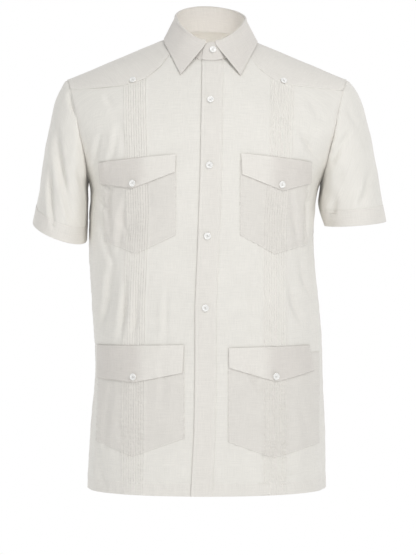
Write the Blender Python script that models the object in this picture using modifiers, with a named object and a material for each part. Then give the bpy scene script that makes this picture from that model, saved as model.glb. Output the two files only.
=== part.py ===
"""A short-sleeved guayabera shirt as it hangs on a wearer, hollow and open at neck, cuffs and hem.

Metres, +Z up, the front towards -Y and the wearer's left towards +X. The origin is level with the
high point of the shoulders, at the middle of the neck. Each piece of cloth is an open sheet that
gives its outer face, and Solidify gives the cloth its thickness inwards.

The trunk is one form, worked out at (u, run): u goes from -1 to 1 between the two armholes or side
seams, and run is the length along the cloth from the shoulder ridge, negative down the front and
positive down the back.
"""

import functools
import math

import bmesh
import bpy
import numpy as np
from mathutils import Vector
from mathutils.bvhtree import BVHTree

MM = 0.001

# Cloth
CLOTH = 1.0 * MM
SEAM = 0.3 * MM
DRAWN_IN = 0.25 * MM  # each edge from its seam, so that the inner faces stay apart too
PLY = 1.45 * MM  # from one layer's outer face to the next one's
TUCKS = 10
TUCK_BAND = 40 * MM
TUCK_HEIGHT = 0.8 * MM
TUCK_CREST = 0.65  # where a tuck's fold lies across its pitch

# Trunk: one row per level, from the hem to the chest
SQUARENESS = 2.3  # exponent of the sections' superellipse
LEVELS = (  # z, half width, armhole edge, middle, front depth, back depth
    (-0.753, 0.2000, 0.2000, -0.0010, 0.1460, 0.131),
    (-0.640, 0.1960, 0.1960, 0.0010, 0.1440, 0.127),
    (-0.550, 0.1910, 0.1910, 0.0030, 0.1415, 0.122),
    (-0.440, 0.1910, 0.1910, -0.0030, 0.1390, 0.119),
    (-0.355, 0.1895, 0.1895, -0.0095, 0.1380, 0.121),
    (-0.300, 0.1900, 0.1900, -0.0090, 0.1380, 0.124),
    (-0.238, 0.1965, 0.1965, -0.0035, 0.1385, 0.126),
    (-0.210, 0.2120, 0.1995, -0.0010, 0.1380, 0.127),
    (-0.165, 0.2360, 0.2090, 0.0000, 0.1330, 0.1265),
)
FRONT_RUN = -0.068  # run less z on the front's level rows
BACK_RUN = 0.1006  # run plus z on the back's level rows
SHOULDER = (  # run, z at the middle, z at the armhole, depth, half width, armhole edge
    (-0.1864, -0.1206, -0.1320, -0.1186, 0.2494, 0.2155),
    (-0.1233, -0.0646, -0.0950, -0.0896, 0.2598, 0.2245),
    (-0.0643, -0.0176, -0.0755, -0.0541, 0.2674, 0.2310),
    (0.0000, 0.0145, -0.0680, 0.0000, 0.2725, 0.2355),
    (0.0576, 0.0220, -0.0773, 0.0570, 0.2674, 0.2310),
    (0.1032, -0.0080, -0.0944, 0.0900, 0.2598, 0.2245),
    (0.1673, -0.0680, -0.1160, 0.1120, 0.2530, 0.2190),
    (0.2052, -0.1050, -0.1322, 0.1200, 0.2494, 0.2155),
)
TILT_ROUND = 0.25  # how far out the slope of the shoulders sets in
U_STEP = 0.004  # for the slopes that normals are worked out from
RUN_STEP = 0.002
HALVINGS = 40  # of a span, to find where the trunk passes a point
FRONT_TOP_SPAN = (-0.30, 0.0)  # runs between which a front's upper edge lies
BACK_SEAM_SPAN = (0.06, 0.30)
BAND_TOP_Z = -0.08

# Broad folds of the worn cloth, as troughs between two points of the front or back
FOLDS = (  # front, x and z of one end, x and z of the other, half width, depth
    (True, -0.147, -0.375, -0.172, -0.500, 0.015, 0.0040),
    (True, -0.128, -0.400, -0.142, -0.505, 0.013, 0.0030),
    (True, -0.132, -0.290, -0.120, -0.350, 0.013, 0.0030),
    (True, 0.132, -0.405, 0.158, -0.490, 0.014, 0.0035),
    (True, 0.150, -0.370, 0.172, -0.450, 0.013, 0.0030),
    (True, 0.152, -0.155, 0.190, -0.215, 0.014, 0.0035),
    (False, -0.120, -0.360, -0.155, -0.520, 0.018, 0.0045),
    (False, 0.130, -0.340, 0.150, -0.490, 0.016, 0.0040),
    (False, 0.035, -0.380, 0.055, -0.560, 0.018, 0.0035),
    (False, -0.150, -0.170, -0.185, -0.240, 0.014, 0.0035),
    (False, 0.150, -0.160, 0.187, -0.235, 0.014, 0.0035),
)

# Neckline, stand and collar leaf
NECK_X = 0.006
NECK_HALF = 0.063
NECK_FRONT_RUN = 0.100
NECK_BACK_RUN = 0.0576
YOKE_ANGLE = math.radians(62)  # where the front yoke seam leaves the neckline
NAPE_ANGLE = math.radians(115)  # from where the yoke's columns run down the back
STAND_RISE = (0.0305, 0.0350, 0.0405)  # front, side, back
STAND_LEAN = (0.0090, 0.0050, 0.0050)
STAND_FALL = 0.4 * MM  # how much further out the stand's lapping end is
STAND_LAP = (math.radians(35), math.radians(60))  # the lapping end eases down between these angles
LEAF_OPENING = math.radians(8)
LEAF_POINT = (0.049, -0.127)  # x from the neck's middle, run
LEAF_SIDE = 0.0785
LEAF_BACK_RUN = 0.075
LEAF_LIFT = 3.5 * MM
LEAF_ROLL = (  # outwards, upwards from the stand's top edge
    (-0.0006, 0.0017),
    (0.0011, 0.0022),
    (0.0026, 0.0008),
    (0.0034, -0.0040),
)
LEAF_STEPS = 24
LEAF_FALL = (0.34, 0.68, 1.0)
LEAF_BULGE = 1.5 * MM

# Lines down the fronts, as x at each z
FREE_EDGE = (  # z, x
    (-0.753, -0.0261),
    (-0.651, -0.0208),
    (-0.550, -0.0192),
    (-0.4485, -0.0192),
    (-0.336, -0.0144),
    (-0.222, -0.0106),
    (-0.046, -0.0080),
)
PLACKET = 35 * MM
PLACKET_COLUMNS = 3  # the left front's first columns, which the placket covers
UNDERLAP_COLUMNS = (30 * MM, 15 * MM, 0, -14 * MM, -28 * MM)  # the right front's, from the free edge
OVERLAP_EASE = 52 * MM  # where the left front is back down on the form
BAND_MIDDLE = {  # z, x
    1: ((-0.753, 0.1097), (-0.300, 0.1097), (-0.200, 0.1190), (-0.080, 0.1238)),
    -1: ((-0.753, -0.1207), (-0.450, -0.1180), (-0.300, -0.1112), (-0.080, -0.1181)),
}
YOKE_SEAM = (  # x from the middle of the tuck band, z
    (-0.041, -0.0545),
    (-0.020, -0.0725),
    (0.000, -0.0815),
    (0.020, -0.0860),
    (0.060, -0.0890),
    (0.120, -0.0902),
)
BACK_SEAM_Z = -0.095

# Grids
ROW_Z = (-0.753, -0.660, -0.568, -0.476, -0.384, -0.300, -0.238, -0.205, -0.165, -0.128)
UPPER_ROWS = (0.45, 0.82, 1.0)  # shares of the way from the last level to the upper edge
SIDE_STEPS = 5
BACK_STEPS = 12
YOKE_FRONT_STEPS = 3
YOKE_BACK_STEPS = 2
PIT_Z = -0.238  # the row at the foot of the armhole
PLAIN_TUCK_COLUMNS = 5  # a plain layer over the tucks keeps one column of so many

# Sleeves: quarter points of the cuff's lower edge
CUFF_DEPTH = 28 * MM
CUFF_EDGE = {  # outer, front, inner, back
    1: (
        (0.3010, -0.010, -0.306),
        (0.2470, -0.074, -0.316),
        (0.1985, -0.008, -0.3135),
        (0.2480, 0.058, -0.304),
    ),
    -1: (
        (-0.2920, -0.014, -0.306),
        (-0.2460, -0.080, -0.339),
        (-0.2022, -0.012, -0.338),
        (-0.2470, 0.052, -0.300),
    ),
}
SLEEVE_START = (  # how it leaves the armhole, on the left: top, front, under, back
    (0.096, 0.0, -0.048),
    (0.035, -0.030, -0.130),
    (0.004, 0.0, -0.060),
    (0.035, 0.030, -0.130),
)
SLEEVE_END = {  # how it arrives at the cuff, as if on the left
    1: ((0.040, 0.0, -0.200), (0.030, -0.004, -0.140), (0.0165, 0.0, -0.0475), (0.030, 0.0, -0.140)),
    -1: ((0.040, 0.0, -0.200), (0.030, -0.004, -0.140), (0.002, 0.0, -0.050), (0.030, 0.0, -0.140)),
}
SLEEVE_ROWS = (0.0, 0.07, 0.2, 0.4, 0.6, 0.8, 1.0)

# Pockets and flaps: corners as x, z
POCKET_DROP = 12 * MM  # from the flap's seam down to the pocket's mouth
POCKETS = {  # flap: top left, top right, bottom right, point, bottom left; pocket: right, point, left
    "upper_right": (
        ((-0.1768, -0.2124), (-0.0498, -0.2021), (-0.0514, -0.2311), (-0.1207, -0.2569), (-0.1745, -0.2470)),
        ((-0.0498, -0.3326), (-0.1142, -0.3632), (-0.1700, -0.3420)),
    ),
    "upper_left": (
        ((0.0548, -0.2005), (0.1707, -0.2115), (0.1710, -0.2451), (0.1225, -0.2601), (0.0564, -0.2344)),
        ((0.1653, -0.3473), (0.1096, -0.3632), (0.0532, -0.3326)),
    ),
    "lower_right": (
        ((-0.1816, -0.5125), (-0.0369, -0.5097), (-0.0392, -0.5548), (-0.1170, -0.5710), (-0.1816, -0.5660)),
        ((-0.0369, -0.6602), (-0.1213, -0.6916), (-0.1820, -0.6700)),
    ),
    "lower_left": (
        ((0.0349, -0.5145), (0.1692, -0.5120), (0.1756, -0.5540), (0.1120, -0.5700), (0.0355, -0.5467)),
        ((0.1860, -0.6740), (0.1073, -0.6932), (0.0339, -0.6658)),
    ),
}

# Buttons: radius and profile of half a section, as shares of the radius and of the height
BUTTON_RADIUS = 5.75 * MM
BUTTON_HEIGHT = 2.2 * MM
BUTTON_PROFILE = ((0.0, 0.68), (0.62, 0.68), (0.74, 1.0), (0.90, 1.0), (1.0, 0.62), (0.86, 0.0), (0.0, 0.0))
BUTTON_SIDES = 16
BUTTON_SHANK = 0.5 * MM
BUTTONS = (  # name, piece that it is sewn on, x, z
    ("front_1", "collar_stand", 0.0099, -0.0259),
    ("front_2", "placket", 0.0058, -0.1125),
    ("front_3", "placket", 0.0041, -0.2199),
    ("front_4", "placket", 0.0009, -0.3342),
    ("front_5", "placket", -0.0023, -0.4501),
    ("yoke_left", "yoke", 0.1262, -0.0785),
    ("yoke_right", "yoke", -0.1212, -0.0775),
    ("flap_upper_left", "pocket_flap_upper_left", 0.1225, -0.2500),
    ("flap_upper_right", "pocket_flap_upper_right", -0.1209, -0.2480),
    ("flap_lower_left", "pocket_flap_lower_left", 0.1120, -0.5610),
    ("flap_lower_right", "pocket_flap_lower_right", -0.1200, -0.5620),
)

MATERIALS = {  # colour, roughness
    "front": ((0.80, 0.78, 0.74, 1), 0.75),
    "yoke": ((0.76, 0.73, 0.69, 1), 0.75),
    "back": ((0.79, 0.77, 0.73, 1), 0.75),
    "sleeve": ((0.78, 0.76, 0.71, 1), 0.75),
    "collar": ((0.70, 0.66, 0.62, 1), 0.70),
    "pocket": ((0.75, 0.73, 0.69, 1), 0.75),
    "button": ((0.88, 0.87, 0.85, 1), 0.30),
}


def column(rows, index):
    return np.array([row[index] for row in rows])


def smooth(at, knots, values):
    """A cubic through the values, with each slope taken from the rows on either side."""
    at = np.clip(at, knots[0], knots[-1])
    slopes = np.gradient(values, knots)
    low = np.clip(np.searchsorted(knots, at, side="right") - 1, 0, len(knots) - 2)
    span = knots[low + 1] - knots[low]
    s = (at - knots[low]) / span
    level = values[low] * (1 + 2 * s) * (1 - s) ** 2 + values[low + 1] * s * s * (3 - 2 * s)
    return level + span * s * (1 - s) * (slopes[low] * (1 - s) - slopes[low + 1] * s)


def trunk_rows():
    """The level rows of the front, the shoulder's rows and the level rows of the back, by run."""
    front = [
        (z + FRONT_RUN, z, z, -ahead, half, edge, middle) for z, half, edge, middle, ahead, _ in LEVELS
    ]
    back = [
        (BACK_RUN - z, z, z, behind, half, edge, middle)
        for z, half, edge, middle, _, behind in reversed(LEVELS)
    ]
    return front + [row + (0.0,) for row in SHOULDER] + back


TRUNK = trunk_rows()
RUNS = column(TRUNK, 0)


def section(run):
    """z at the middle, z at the armhole, depth, half width, armhole edge and middle at a run."""
    return [smooth(run, RUNS, column(TRUNK, index)) for index in range(1, 7)]


def trunk(u, run):
    """The trunk's outer face at (u, run), without folds."""
    u, run = np.broadcast_arrays(np.asarray(u, float), np.asarray(run, float))
    z_mid, z_edge, depth, half, edge, middle = section(run)
    reach = np.arcsin(np.minimum(edge / half, 1) ** (SQUARENESS / 2))
    angle = np.abs(u) * reach
    out = half * np.sin(angle) ** (2 / SQUARENESS)
    y = depth * np.maximum(np.cos(angle), 0) ** (2 / SQUARENESS)
    tilt = np.hypot(out / edge, TILT_ROUND) - TILT_ROUND
    z = z_mid + (z_edge - z_mid) * tilt / (math.hypot(1, TILT_ROUND) - TILT_ROUND)
    return np.stack([middle + np.sign(u) * out, y, z], -1)


def outward(u, run):
    """The unit normal of the trunk, away from the wearer."""
    across = trunk(np.clip(u + U_STEP, -1, 1), run) - trunk(np.clip(u - U_STEP, -1, 1), run)
    along = trunk(u, run + RUN_STEP) - trunk(u, run - RUN_STEP)
    normal = np.cross(across, along)
    return normal / np.linalg.norm(normal, axis=-1, keepdims=True)


def u_at(x, run):
    """The u of a point of the trunk whose x is given."""
    _, _, _, half, edge, middle = section(run)
    reach = np.arcsin(np.minimum(edge / half, 1) ** (SQUARENESS / 2))
    share = np.minimum(np.abs(x - middle) / half, 1)
    return np.sign(x - middle) * np.minimum(np.arcsin(share ** (SQUARENESS / 2)) / reach, 1)


def run_at(x, z):
    """The run near a front's upper edge at which the trunk passes x and z."""
    low, high = (np.full(np.shape(x), end) for end in FRONT_TOP_SPAN)
    for _ in range(HALVINGS):
        middle = (low + high) / 2
        above = trunk(u_at(x, middle), middle)[..., 2] > z
        high = np.where(above, middle, high)
        low = np.where(above, low, middle)
    return (low + high) / 2


def folded(u, run):
    """The trunk with its broad folds pressed in."""
    points, normals = trunk(u, run), outward(u, run)
    x, z = points[..., 0], points[..., 2]
    for front, x0, z0, x1, z1, wide, deep in FOLDS:
        length = math.hypot(x1 - x0, z1 - z0)
        along = ((x - x0) * (x1 - x0) + (z - z0) * (z1 - z0)) / length**2
        aside = ((x - x0) * (z1 - z0) - (z - z0) * (x1 - x0)) / length
        fade = np.sin(math.pi * np.clip(along, 0, 1)) ** 2
        here = (np.asarray(run) < 0) == front
        points = points - normals * (here * deep * fade * np.exp(-((aside / wide) ** 2)))[..., None]
    return points


def line(table):
    """x at z along a line given by a table of z and x."""
    return lambda z: np.interp(z, column(table, 0), column(table, 1))


def free_edge(z):
    return line(FREE_EDGE)(z)


def neckline(angle):
    """x and run of the neckline, at an angle from the front's middle towards the wearer's left."""
    depth = np.where(np.cos(angle) > 0, NECK_FRONT_RUN, NECK_BACK_RUN)
    return NECK_X + NECK_HALF * np.sin(angle), -depth * np.cos(angle)


def top_run(side, x):
    """The run of a front's upper edge: the neckline, then the yoke's seam."""
    corner, _ = neckline(side * YOKE_ANGLE)
    if side * (x - corner) <= 1e-6:
        share = min(abs(x - NECK_X) / NECK_HALF, 1)
        return -NECK_FRONT_RUN * math.sqrt(1 - share**2)
    middle = line(BAND_MIDDLE[side])(BAND_TOP_Z)
    across = np.r_[side * (corner - middle), column(YOKE_SEAM, 0)]
    corner_z = float(trunk(u_at(corner, neckline(YOKE_ANGLE)[1]), neckline(YOKE_ANGLE)[1])[2])
    z = np.interp(side * (x - middle), across, np.r_[corner_z, column(YOKE_SEAM, 1)])
    return float(run_at(x, z))


def front_lines(side):
    """The lines of x at z that a front's columns follow, from its free edge to the tuck band's end."""
    corner, _ = neckline(side * YOKE_ANGLE)
    band = line(BAND_MIDDLE[side])
    outs = (0, PLACKET / 2, PLACKET, OVERLAP_EASE) if side > 0 else UNDERLAP_COLUMNS
    near = [lambda z, out=out: free_edge(z) + out for out in outs]

    def leaning(z):
        return corner + free_edge(z) - free_edge(FREE_EDGE[-1][0])

    near.append(leaning)
    near.append(lambda z: (leaning(z) + band(z) - side * TUCK_BAND / 2) / 2)
    pitch = TUCK_BAND / TUCKS
    outs = [0.0]
    for tuck in range(TUCKS):
        outs += [(tuck + TUCK_CREST) * pitch, (tuck + 1) * pitch]
    tucks = [lambda z, out=out: band(z) + side * (out - TUCK_BAND / 2) for out in outs]
    return near, tucks


@functools.cache
def front_grid(side):
    """u, run, tuck height and lift of a front's grid points."""
    near, tucks = front_lines(side)
    lines = near + tucks
    levels = [z + FRONT_RUN for z in ROW_Z]
    rows = len(levels) + len(UPPER_ROWS)
    u = np.empty((rows, len(lines) + SIDE_STEPS))
    run = np.empty_like(u)
    for place, x_at in enumerate(lines):
        top = top_run(side, x_at(BAND_TOP_Z))
        for _ in range(3):
            z = trunk(u_at(x_at(BAND_TOP_Z), top), top)[2]
            top = top_run(side, float(x_at(z)))
        run[:, place] = levels + [levels[-1] + share * (top - levels[-1]) for share in UPPER_ROWS]
        z = section(run[:, place])[0]
        for _ in range(3):
            u[:, place] = u_at(x_at(z), run[:, place])
            z = trunk(u[:, place], run[:, place])[:, 2]
    seam_end = run_of_front_seam()
    last = len(lines) - 1
    for step in range(1, SIDE_STEPS + 1):
        share = step / SIDE_STEPS
        u[:, last + step] = u[:, last] + share * (side - u[:, last])
        x = trunk(u[-1, last + step], run[-1, last])[0]
        top = seam_end if step == SIDE_STEPS else top_run(side, float(x))
        run[:, last + step] = levels + [levels[-1] + part * (top - levels[-1]) for part in UPPER_ROWS]
    height = np.zeros(u.shape)
    height[:-1, len(near) + 1 : len(lines) : 2] = TUCK_HEIGHT
    lift = np.zeros(u.shape)
    if side > 0:
        lift[:, :PLACKET_COLUMNS] = PLY
    return u, run, height, lift


def run_of_front_seam():
    """The run at which the front yoke seam meets the armhole."""
    return float(np.interp(YOKE_SEAM[-1][1], column(SHOULDER[:4], 2), column(SHOULDER[:4], 0)))


def run_of_back_seam(u):
    """The run of the level seam under the back yoke."""
    low, high = (np.full(np.shape(u), end) for end in BACK_SEAM_SPAN)
    for _ in range(HALVINGS):
        middle = (low + high) / 2
        above = trunk(u, middle)[..., 2] > BACK_SEAM_Z
        low, high = np.where(above, middle, low), np.where(above, high, middle)
    return (low + high) / 2


def drawn_in(points, ring=False):
    """The grid with its outer edges drawn in from its seams."""
    points = points.copy()
    edges = [(0, 1), (-1, -2)]
    for edge, inside in edges:
        step = points[inside] - points[edge]
        points[edge] += step / np.linalg.norm(step, axis=-1, keepdims=True) * DRAWN_IN
    if not ring:
        for edge, inside in edges:
            step = points[:, inside] - points[:, edge]
            points[:, edge] += step / np.linalg.norm(step, axis=-1, keepdims=True) * DRAWN_IN
    return points


def sheet(points, ring=False, out=None):
    """A bmesh through a grid of points, in triangles, facing away from the wearer, with the way out kept."""
    mesh = bmesh.new()
    layer = mesh.verts.layers.float_vector.new("out")
    rows, places = points.shape[:2]
    grid = []
    for row in range(rows):
        grid.append([mesh.verts.new(points[row, place]) for place in range(places)])
        if out is not None:
            for place in range(places):
                grid[row][place][layer] = Vector(out[row, place])
    for row in range(rows - 1):
        for place in range(places if ring else places - 1):
            after = (place + 1) % places
            mesh.faces.new((grid[row][place], grid[row][after], grid[row + 1][after], grid[row + 1][place]))
    bmesh.ops.triangulate(mesh, faces=mesh.faces[:], quad_method="FIXED")
    mesh.normal_update()
    return mesh


def material(name):
    found = bpy.data.materials.get(name)
    if found:
        return found
    colour, roughness = MATERIALS[name]
    made = bpy.data.materials.new(name)
    made.use_nodes = True
    shader = made.node_tree.nodes["Principled BSDF"]
    shader.inputs["Base Color"].default_value = colour
    shader.inputs["Roughness"].default_value = roughness
    shader.inputs["Metallic"].default_value = 0.0
    return made


def add_object(name, data, finish):
    made = bpy.data.objects.new(name, data)
    garment.objects.link(made)
    if not data.materials:
        data.materials.append(material(finish))
    return made


def cloth(name, mesh, finish):
    """An object of this open sheet, made into cloth by Solidify."""
    data = bpy.data.meshes.new(name)
    mesh.to_mesh(data)
    outer_faces[name] = BVHTree.FromBMesh(mesh)
    mesh.free()
    data.shade_smooth()
    made = add_object(name, data, finish)
    thick = made.modifiers.new("Cloth", "SOLIDIFY")
    thick.thickness = CLOTH
    thick.offset = -1
    thick.use_even_offset = True
    return made


def cut_out(side, outline, lift, tucked):
    """A patch of a front within a convex outline of x and z, lifted off it with or without its tucks."""
    u, run, height, _ = front_grid(side)
    if not tucked:
        near, tucks = front_lines(side)
        kept = [place for place in range(u.shape[1]) if not_a_tuck(place, len(near), len(tucks))]
        u, run, height = u[:, kept], run[:, kept], 0 * height[:, kept]
    out = outward(u, run)
    plain = folded(u, run) + out * height[..., None]
    if side < 0:
        out, plain = out[:, ::-1], plain[:, ::-1]
    mesh = sheet(plain, out=out)
    middle = Vector((sum(x for x, _ in outline) / len(outline), 0, sum(z for _, z in outline) / len(outline)))
    for (x0, z0), (x1, z1) in zip(outline, outline[1:] + outline[:1]):
        normal = Vector((z1 - z0, 0, x0 - x1)).normalized()
        start = Vector((x0, 0, z0))
        if (middle - start).dot(normal) > 0:
            normal.negate()
        bmesh.ops.bisect_plane(
            mesh,
            geom=mesh.verts[:] + mesh.edges[:] + mesh.faces[:],
            plane_co=start,
            plane_no=normal,
            clear_outer=True,
            dist=1e-5,
        )
    layer = mesh.verts.layers.float_vector["out"]
    for vert in mesh.verts:
        vert.co += vert[layer].normalized() * lift
    bmesh.ops.remove_doubles(mesh, verts=mesh.verts[:], dist=0.0001)
    mesh.normal_update()
    return mesh


def not_a_tuck(place, near, tucks):
    """Whether a plain layer over the tuck band keeps this column."""
    return not near <= place < near + tucks or (place - near) % PLAIN_TUCK_COLUMNS == 0


def build_fronts():
    """Both fronts, from the free edge to the side seam and armhole, and the placket on the left one."""
    for side, name in ((1, "front_left"), (-1, "front_right")):
        u, run, height, lift = front_grid(side)
        out, plain = outward(u, run), folded(u, run)
        points = drawn_in(plain + out * (height + lift)[..., None])
        cloth(name, sheet(points[:, ::side]), "front")
        if side > 0:
            strip = (plain + out * (2 * PLY))[:, :PLACKET_COLUMNS]
            cloth("placket", sheet(drawn_in(strip)), "front")


def build_back():
    u = np.linspace(-1, 1, BACK_STEPS + 1)
    levels = [BACK_RUN - z for z in ROW_Z]
    seam = run_of_back_seam(u)
    rows = [np.full(u.shape, level) for level in levels]
    rows += [levels[-1] + share * (seam - levels[-1]) for share in UPPER_ROWS]
    run = np.array(rows)
    points = drawn_in(folded(np.broadcast_to(u, run.shape), run))
    cloth("back", sheet(points[:, ::-1]), "back")
    return run[:, 0]


def yoke_ring():
    """The yoke's columns: their angles round the neck, and u and run at the yoke's outer edge."""
    edge_runs = np.r_[
        np.linspace(run_of_front_seam(), 0, YOKE_FRONT_STEPS + 1),
        np.linspace(0, float(run_of_back_seam(np.array(1.0))), YOKE_BACK_STEPS + 1)[1:],
    ]
    bend_runs = [edge_runs[0], 0, edge_runs[-1]]
    side_angles = np.interp(edge_runs, bend_runs, [YOKE_ANGLE, math.pi / 2, NAPE_ANGLE])
    back_u = np.linspace(1, -1, BACK_STEPS + 1)[1:-1]
    back_angles = np.linspace(NAPE_ANGLE, 2 * math.pi - NAPE_ANGLE, BACK_STEPS + 1)[1:-1]
    angles = np.r_[side_angles, back_angles, 2 * math.pi - side_angles[::-1]]
    outer_u = np.r_[np.ones(len(edge_runs)), back_u, -np.ones(len(edge_runs))]
    outer_run = np.r_[edge_runs, run_of_back_seam(back_u), edge_runs[::-1]]
    return angles, outer_u, outer_run, edge_runs


def neck_angles():
    """The angles of every corner round the neckline, from the left front's free edge to the right's."""
    ends = []
    for side in (1, -1):
        u, run, _, _ = front_grid(side)
        count = len(front_lines(side)[0]) - 2
        x = trunk(u[-1, :count], run[-1, :count])[:, 0]
        ends.append(np.arcsin((x - NECK_X) / NECK_HALF))
    return np.r_[ends[0], yoke_ring()[0], 2 * math.pi + ends[1][::-1]]


def build_yoke():
    """One piece round the neck, over both shoulders, ending at each side in the seam of a front."""
    angles, outer_u, outer_run, _ = yoke_ring()
    inner_x, inner_run = neckline(angles)
    inner_u = u_at(inner_x, inner_run)
    bends = []
    for side in (1, -1):
        near, tucks = front_lines(side)
        grid_u, grid_run, _, _ = front_grid(side)
        places = range(len(near) - 2, grid_u.shape[1])
        kept = [place for place in places if not_a_tuck(place, len(near), len(tucks))]
        seam_u, seam_run = grid_u[-1, kept], grid_run[-1, kept]
        share = (seam_u - seam_u[0]) / (seam_u[-1] - seam_u[0])
        bends.append((share, seam_run - seam_run[0] - share * (seam_run[-1] - seam_run[0])))
    u, run = [], []
    last = len(angles) - 1
    for place in range(last + 1):
        share = bends[0][0] * (1 - place / last) + bends[1][0] * place / last
        bend = bends[0][1] * max(0, 1 - place / YOKE_FRONT_STEPS)
        bend = bend + bends[1][1] * max(0, 1 - (last - place) / YOKE_FRONT_STEPS)
        u.append(inner_u[place] + share * (outer_u[place] - inner_u[place]))
        run.append(inner_run[place] + share * (outer_run[place] - inner_run[place]) + bend)
    cloth("yoke", sheet(drawn_in(folded(np.array(u).T, np.array(run).T))[::-1]), "yoke")


def around(angle, top, front_, under, back_):
    """A value that varies smoothly round a ring, through four given quarter values."""
    top, front_, under, back_ = (np.asarray(value, float) for value in (top, front_, under, back_))
    angle = np.asarray(angle)[..., None]
    return (
        (top + front_ + under + back_) / 4
        + (top - under) / 2 * np.cos(angle)
        + (top - front_ + under - back_) / 4 * np.cos(2 * angle)
        + (front_ - back_) / 2 * np.sin(angle)
    )


def armhole(side, front_runs, yoke_runs, back_runs):
    """The armhole's points and their angles from the shoulder, down the front and up the back."""
    over = np.r_[yoke_runs[yoke_runs < -1e-9][::-1], front_runs[::-1][1:]]
    under = np.r_[back_runs[:-1], yoke_runs[yoke_runs > 1e-9][::-1]]
    runs = np.r_[0.0, over, under]
    points = trunk(np.full(runs.shape, float(side)), runs)
    lengths = np.linalg.norm(np.diff(np.vstack([points, points[:1]]), axis=0), axis=1)
    along = np.r_[0.0, np.cumsum(lengths)]
    pit = len(over)
    halves = along[pit], along[-1] - along[pit]
    angles = np.where(
        np.arange(len(runs)) <= pit,
        along[:-1] / halves[0] * math.pi,
        math.pi + (along[:-1] - along[pit]) / halves[1] * math.pi,
    )
    return points, angles


def build_sleeve(side, name, edge_runs):
    """A sleeve from the armhole down to its cuff, and the cuff, on the columns of the armhole's corners."""
    start, angles = armhole(side, *edge_runs)
    mirror = np.array([side, 1, 1])
    hem = around(angles, *CUFF_EDGE[side])
    leave = around(angles, *SLEEVE_START) * mirror
    arrive = around(angles, *SLEEVE_END[side]) * mirror
    down = arrive / np.linalg.norm(arrive, axis=1, keepdims=True)
    end = hem - down * CUFF_DEPTH
    rows = []
    for s in SLEEVE_ROWS:
        rows.append(
            start * (1 + 2 * s) * (1 - s) ** 2
            + end * s * s * (3 - 2 * s)
            + leave * s * (1 - s) ** 2
            - arrive * s * s * (1 - s)
        )
    cuff = np.array([end, hem])
    for piece, points in (("sleeve_" + name, np.array(rows)), ("cuff_" + name, cuff)):
        points = drawn_in(points, ring=True)
        if side < 0:
            points = points[:, ::-1]
        cloth(piece, sheet(points, ring=True), "sleeve")


def ring_value(angle, front_, side_, back_):
    """A value round the neck, through its values at the front, the sides and the back."""
    return (
        (front_ + 2 * side_ + back_) / 4
        + (front_ - back_) / 2 * np.cos(angle)
        + (front_ - 2 * side_ + back_) / 4 * np.cos(2 * angle)
    )


def stand_edges(angle, overlap):
    """The stand's lower and upper edge at an angle round the neck, and the way outwards there."""
    x, run = neckline(angle)
    u = u_at(x, run)
    away = np.stack([np.sin(angle), -np.cos(angle), 0 * angle], -1)
    low = trunk(u, run)
    low = low + outward(u, run) * (PLY * overlap)[..., None] + away * (STAND_FALL * overlap)[..., None]
    low[..., 2] += 2 * SEAM * (1 + overlap)
    rise = ring_value(angle, *STAND_RISE)[..., None] * np.array([0, 0, 1])
    high = low + rise - away * ring_value(angle, *STAND_LEAN)[..., None]
    return low, high, away


def stand_overlap(angle):
    """1 where the stand lies over its other end, and 0 from the side of the neck on."""
    return np.clip((STAND_LAP[1] - angle) / (STAND_LAP[1] - STAND_LAP[0]), 0, 1)


def build_collar():
    angle = neck_angles()
    low, high, _ = stand_edges(angle, stand_overlap(angle))
    middle = (low + high) / 2
    cloth("collar_stand", sheet(np.array([low, middle, high])), "collar")

    angle = np.linspace(LEAF_OPENING, 2 * math.pi - LEAF_OPENING, LEAF_STEPS + 1)
    turned = np.minimum(angle, 2 * math.pi - angle)
    _, high, away = stand_edges(angle, stand_overlap(turned))
    rows = [high + away * out + np.array([0, 0, up]) for out, up in LEAF_ROLL]
    forward = np.clip((turned - LEAF_OPENING) / (math.pi / 2 - LEAF_OPENING), 0, 1)
    spread = LEAF_POINT[0] + (LEAF_SIDE - LEAF_POINT[0]) * np.sin(forward * math.pi / 2)
    behind = turned > math.pi / 2
    x = NECK_X + np.sign(np.sin(angle)) * np.where(behind, LEAF_SIDE * np.sin(turned), spread)
    run = np.where(behind, -LEAF_BACK_RUN * np.cos(turned), LEAF_POINT[1] * (1 - forward))
    u = u_at(x, run)
    edge = trunk(u, run) + outward(u, run) * LEAF_LIFT
    for share in LEAF_FALL:
        bulge = away * (LEAF_BULGE * 4 * share * (1 - share))
        rows.append(rows[3] + (edge - rows[3]) * share + bulge)
    cloth("collar_leaf", sheet(np.array(rows)[::-1]), "collar")


def build_pockets():
    """Each patch pocket, whose sides run straight up from its lower corners, and the flap over its mouth."""
    for name, (flap, (right, point, left)) in POCKETS.items():
        side = 1 if name.endswith("left") else -1
        mouth = [(corner[0], edge[1] - POCKET_DROP) for corner, edge in zip((left, right), flap)]
        cloth("pocket_" + name, cut_out(side, mouth + [right, point, left], PLY, tucked=True), "pocket")
        flap_lift = 2 * PLY + TUCK_HEIGHT
        cloth("pocket_flap_" + name, cut_out(side, list(flap), flap_lift, tucked=False), "pocket")


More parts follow.
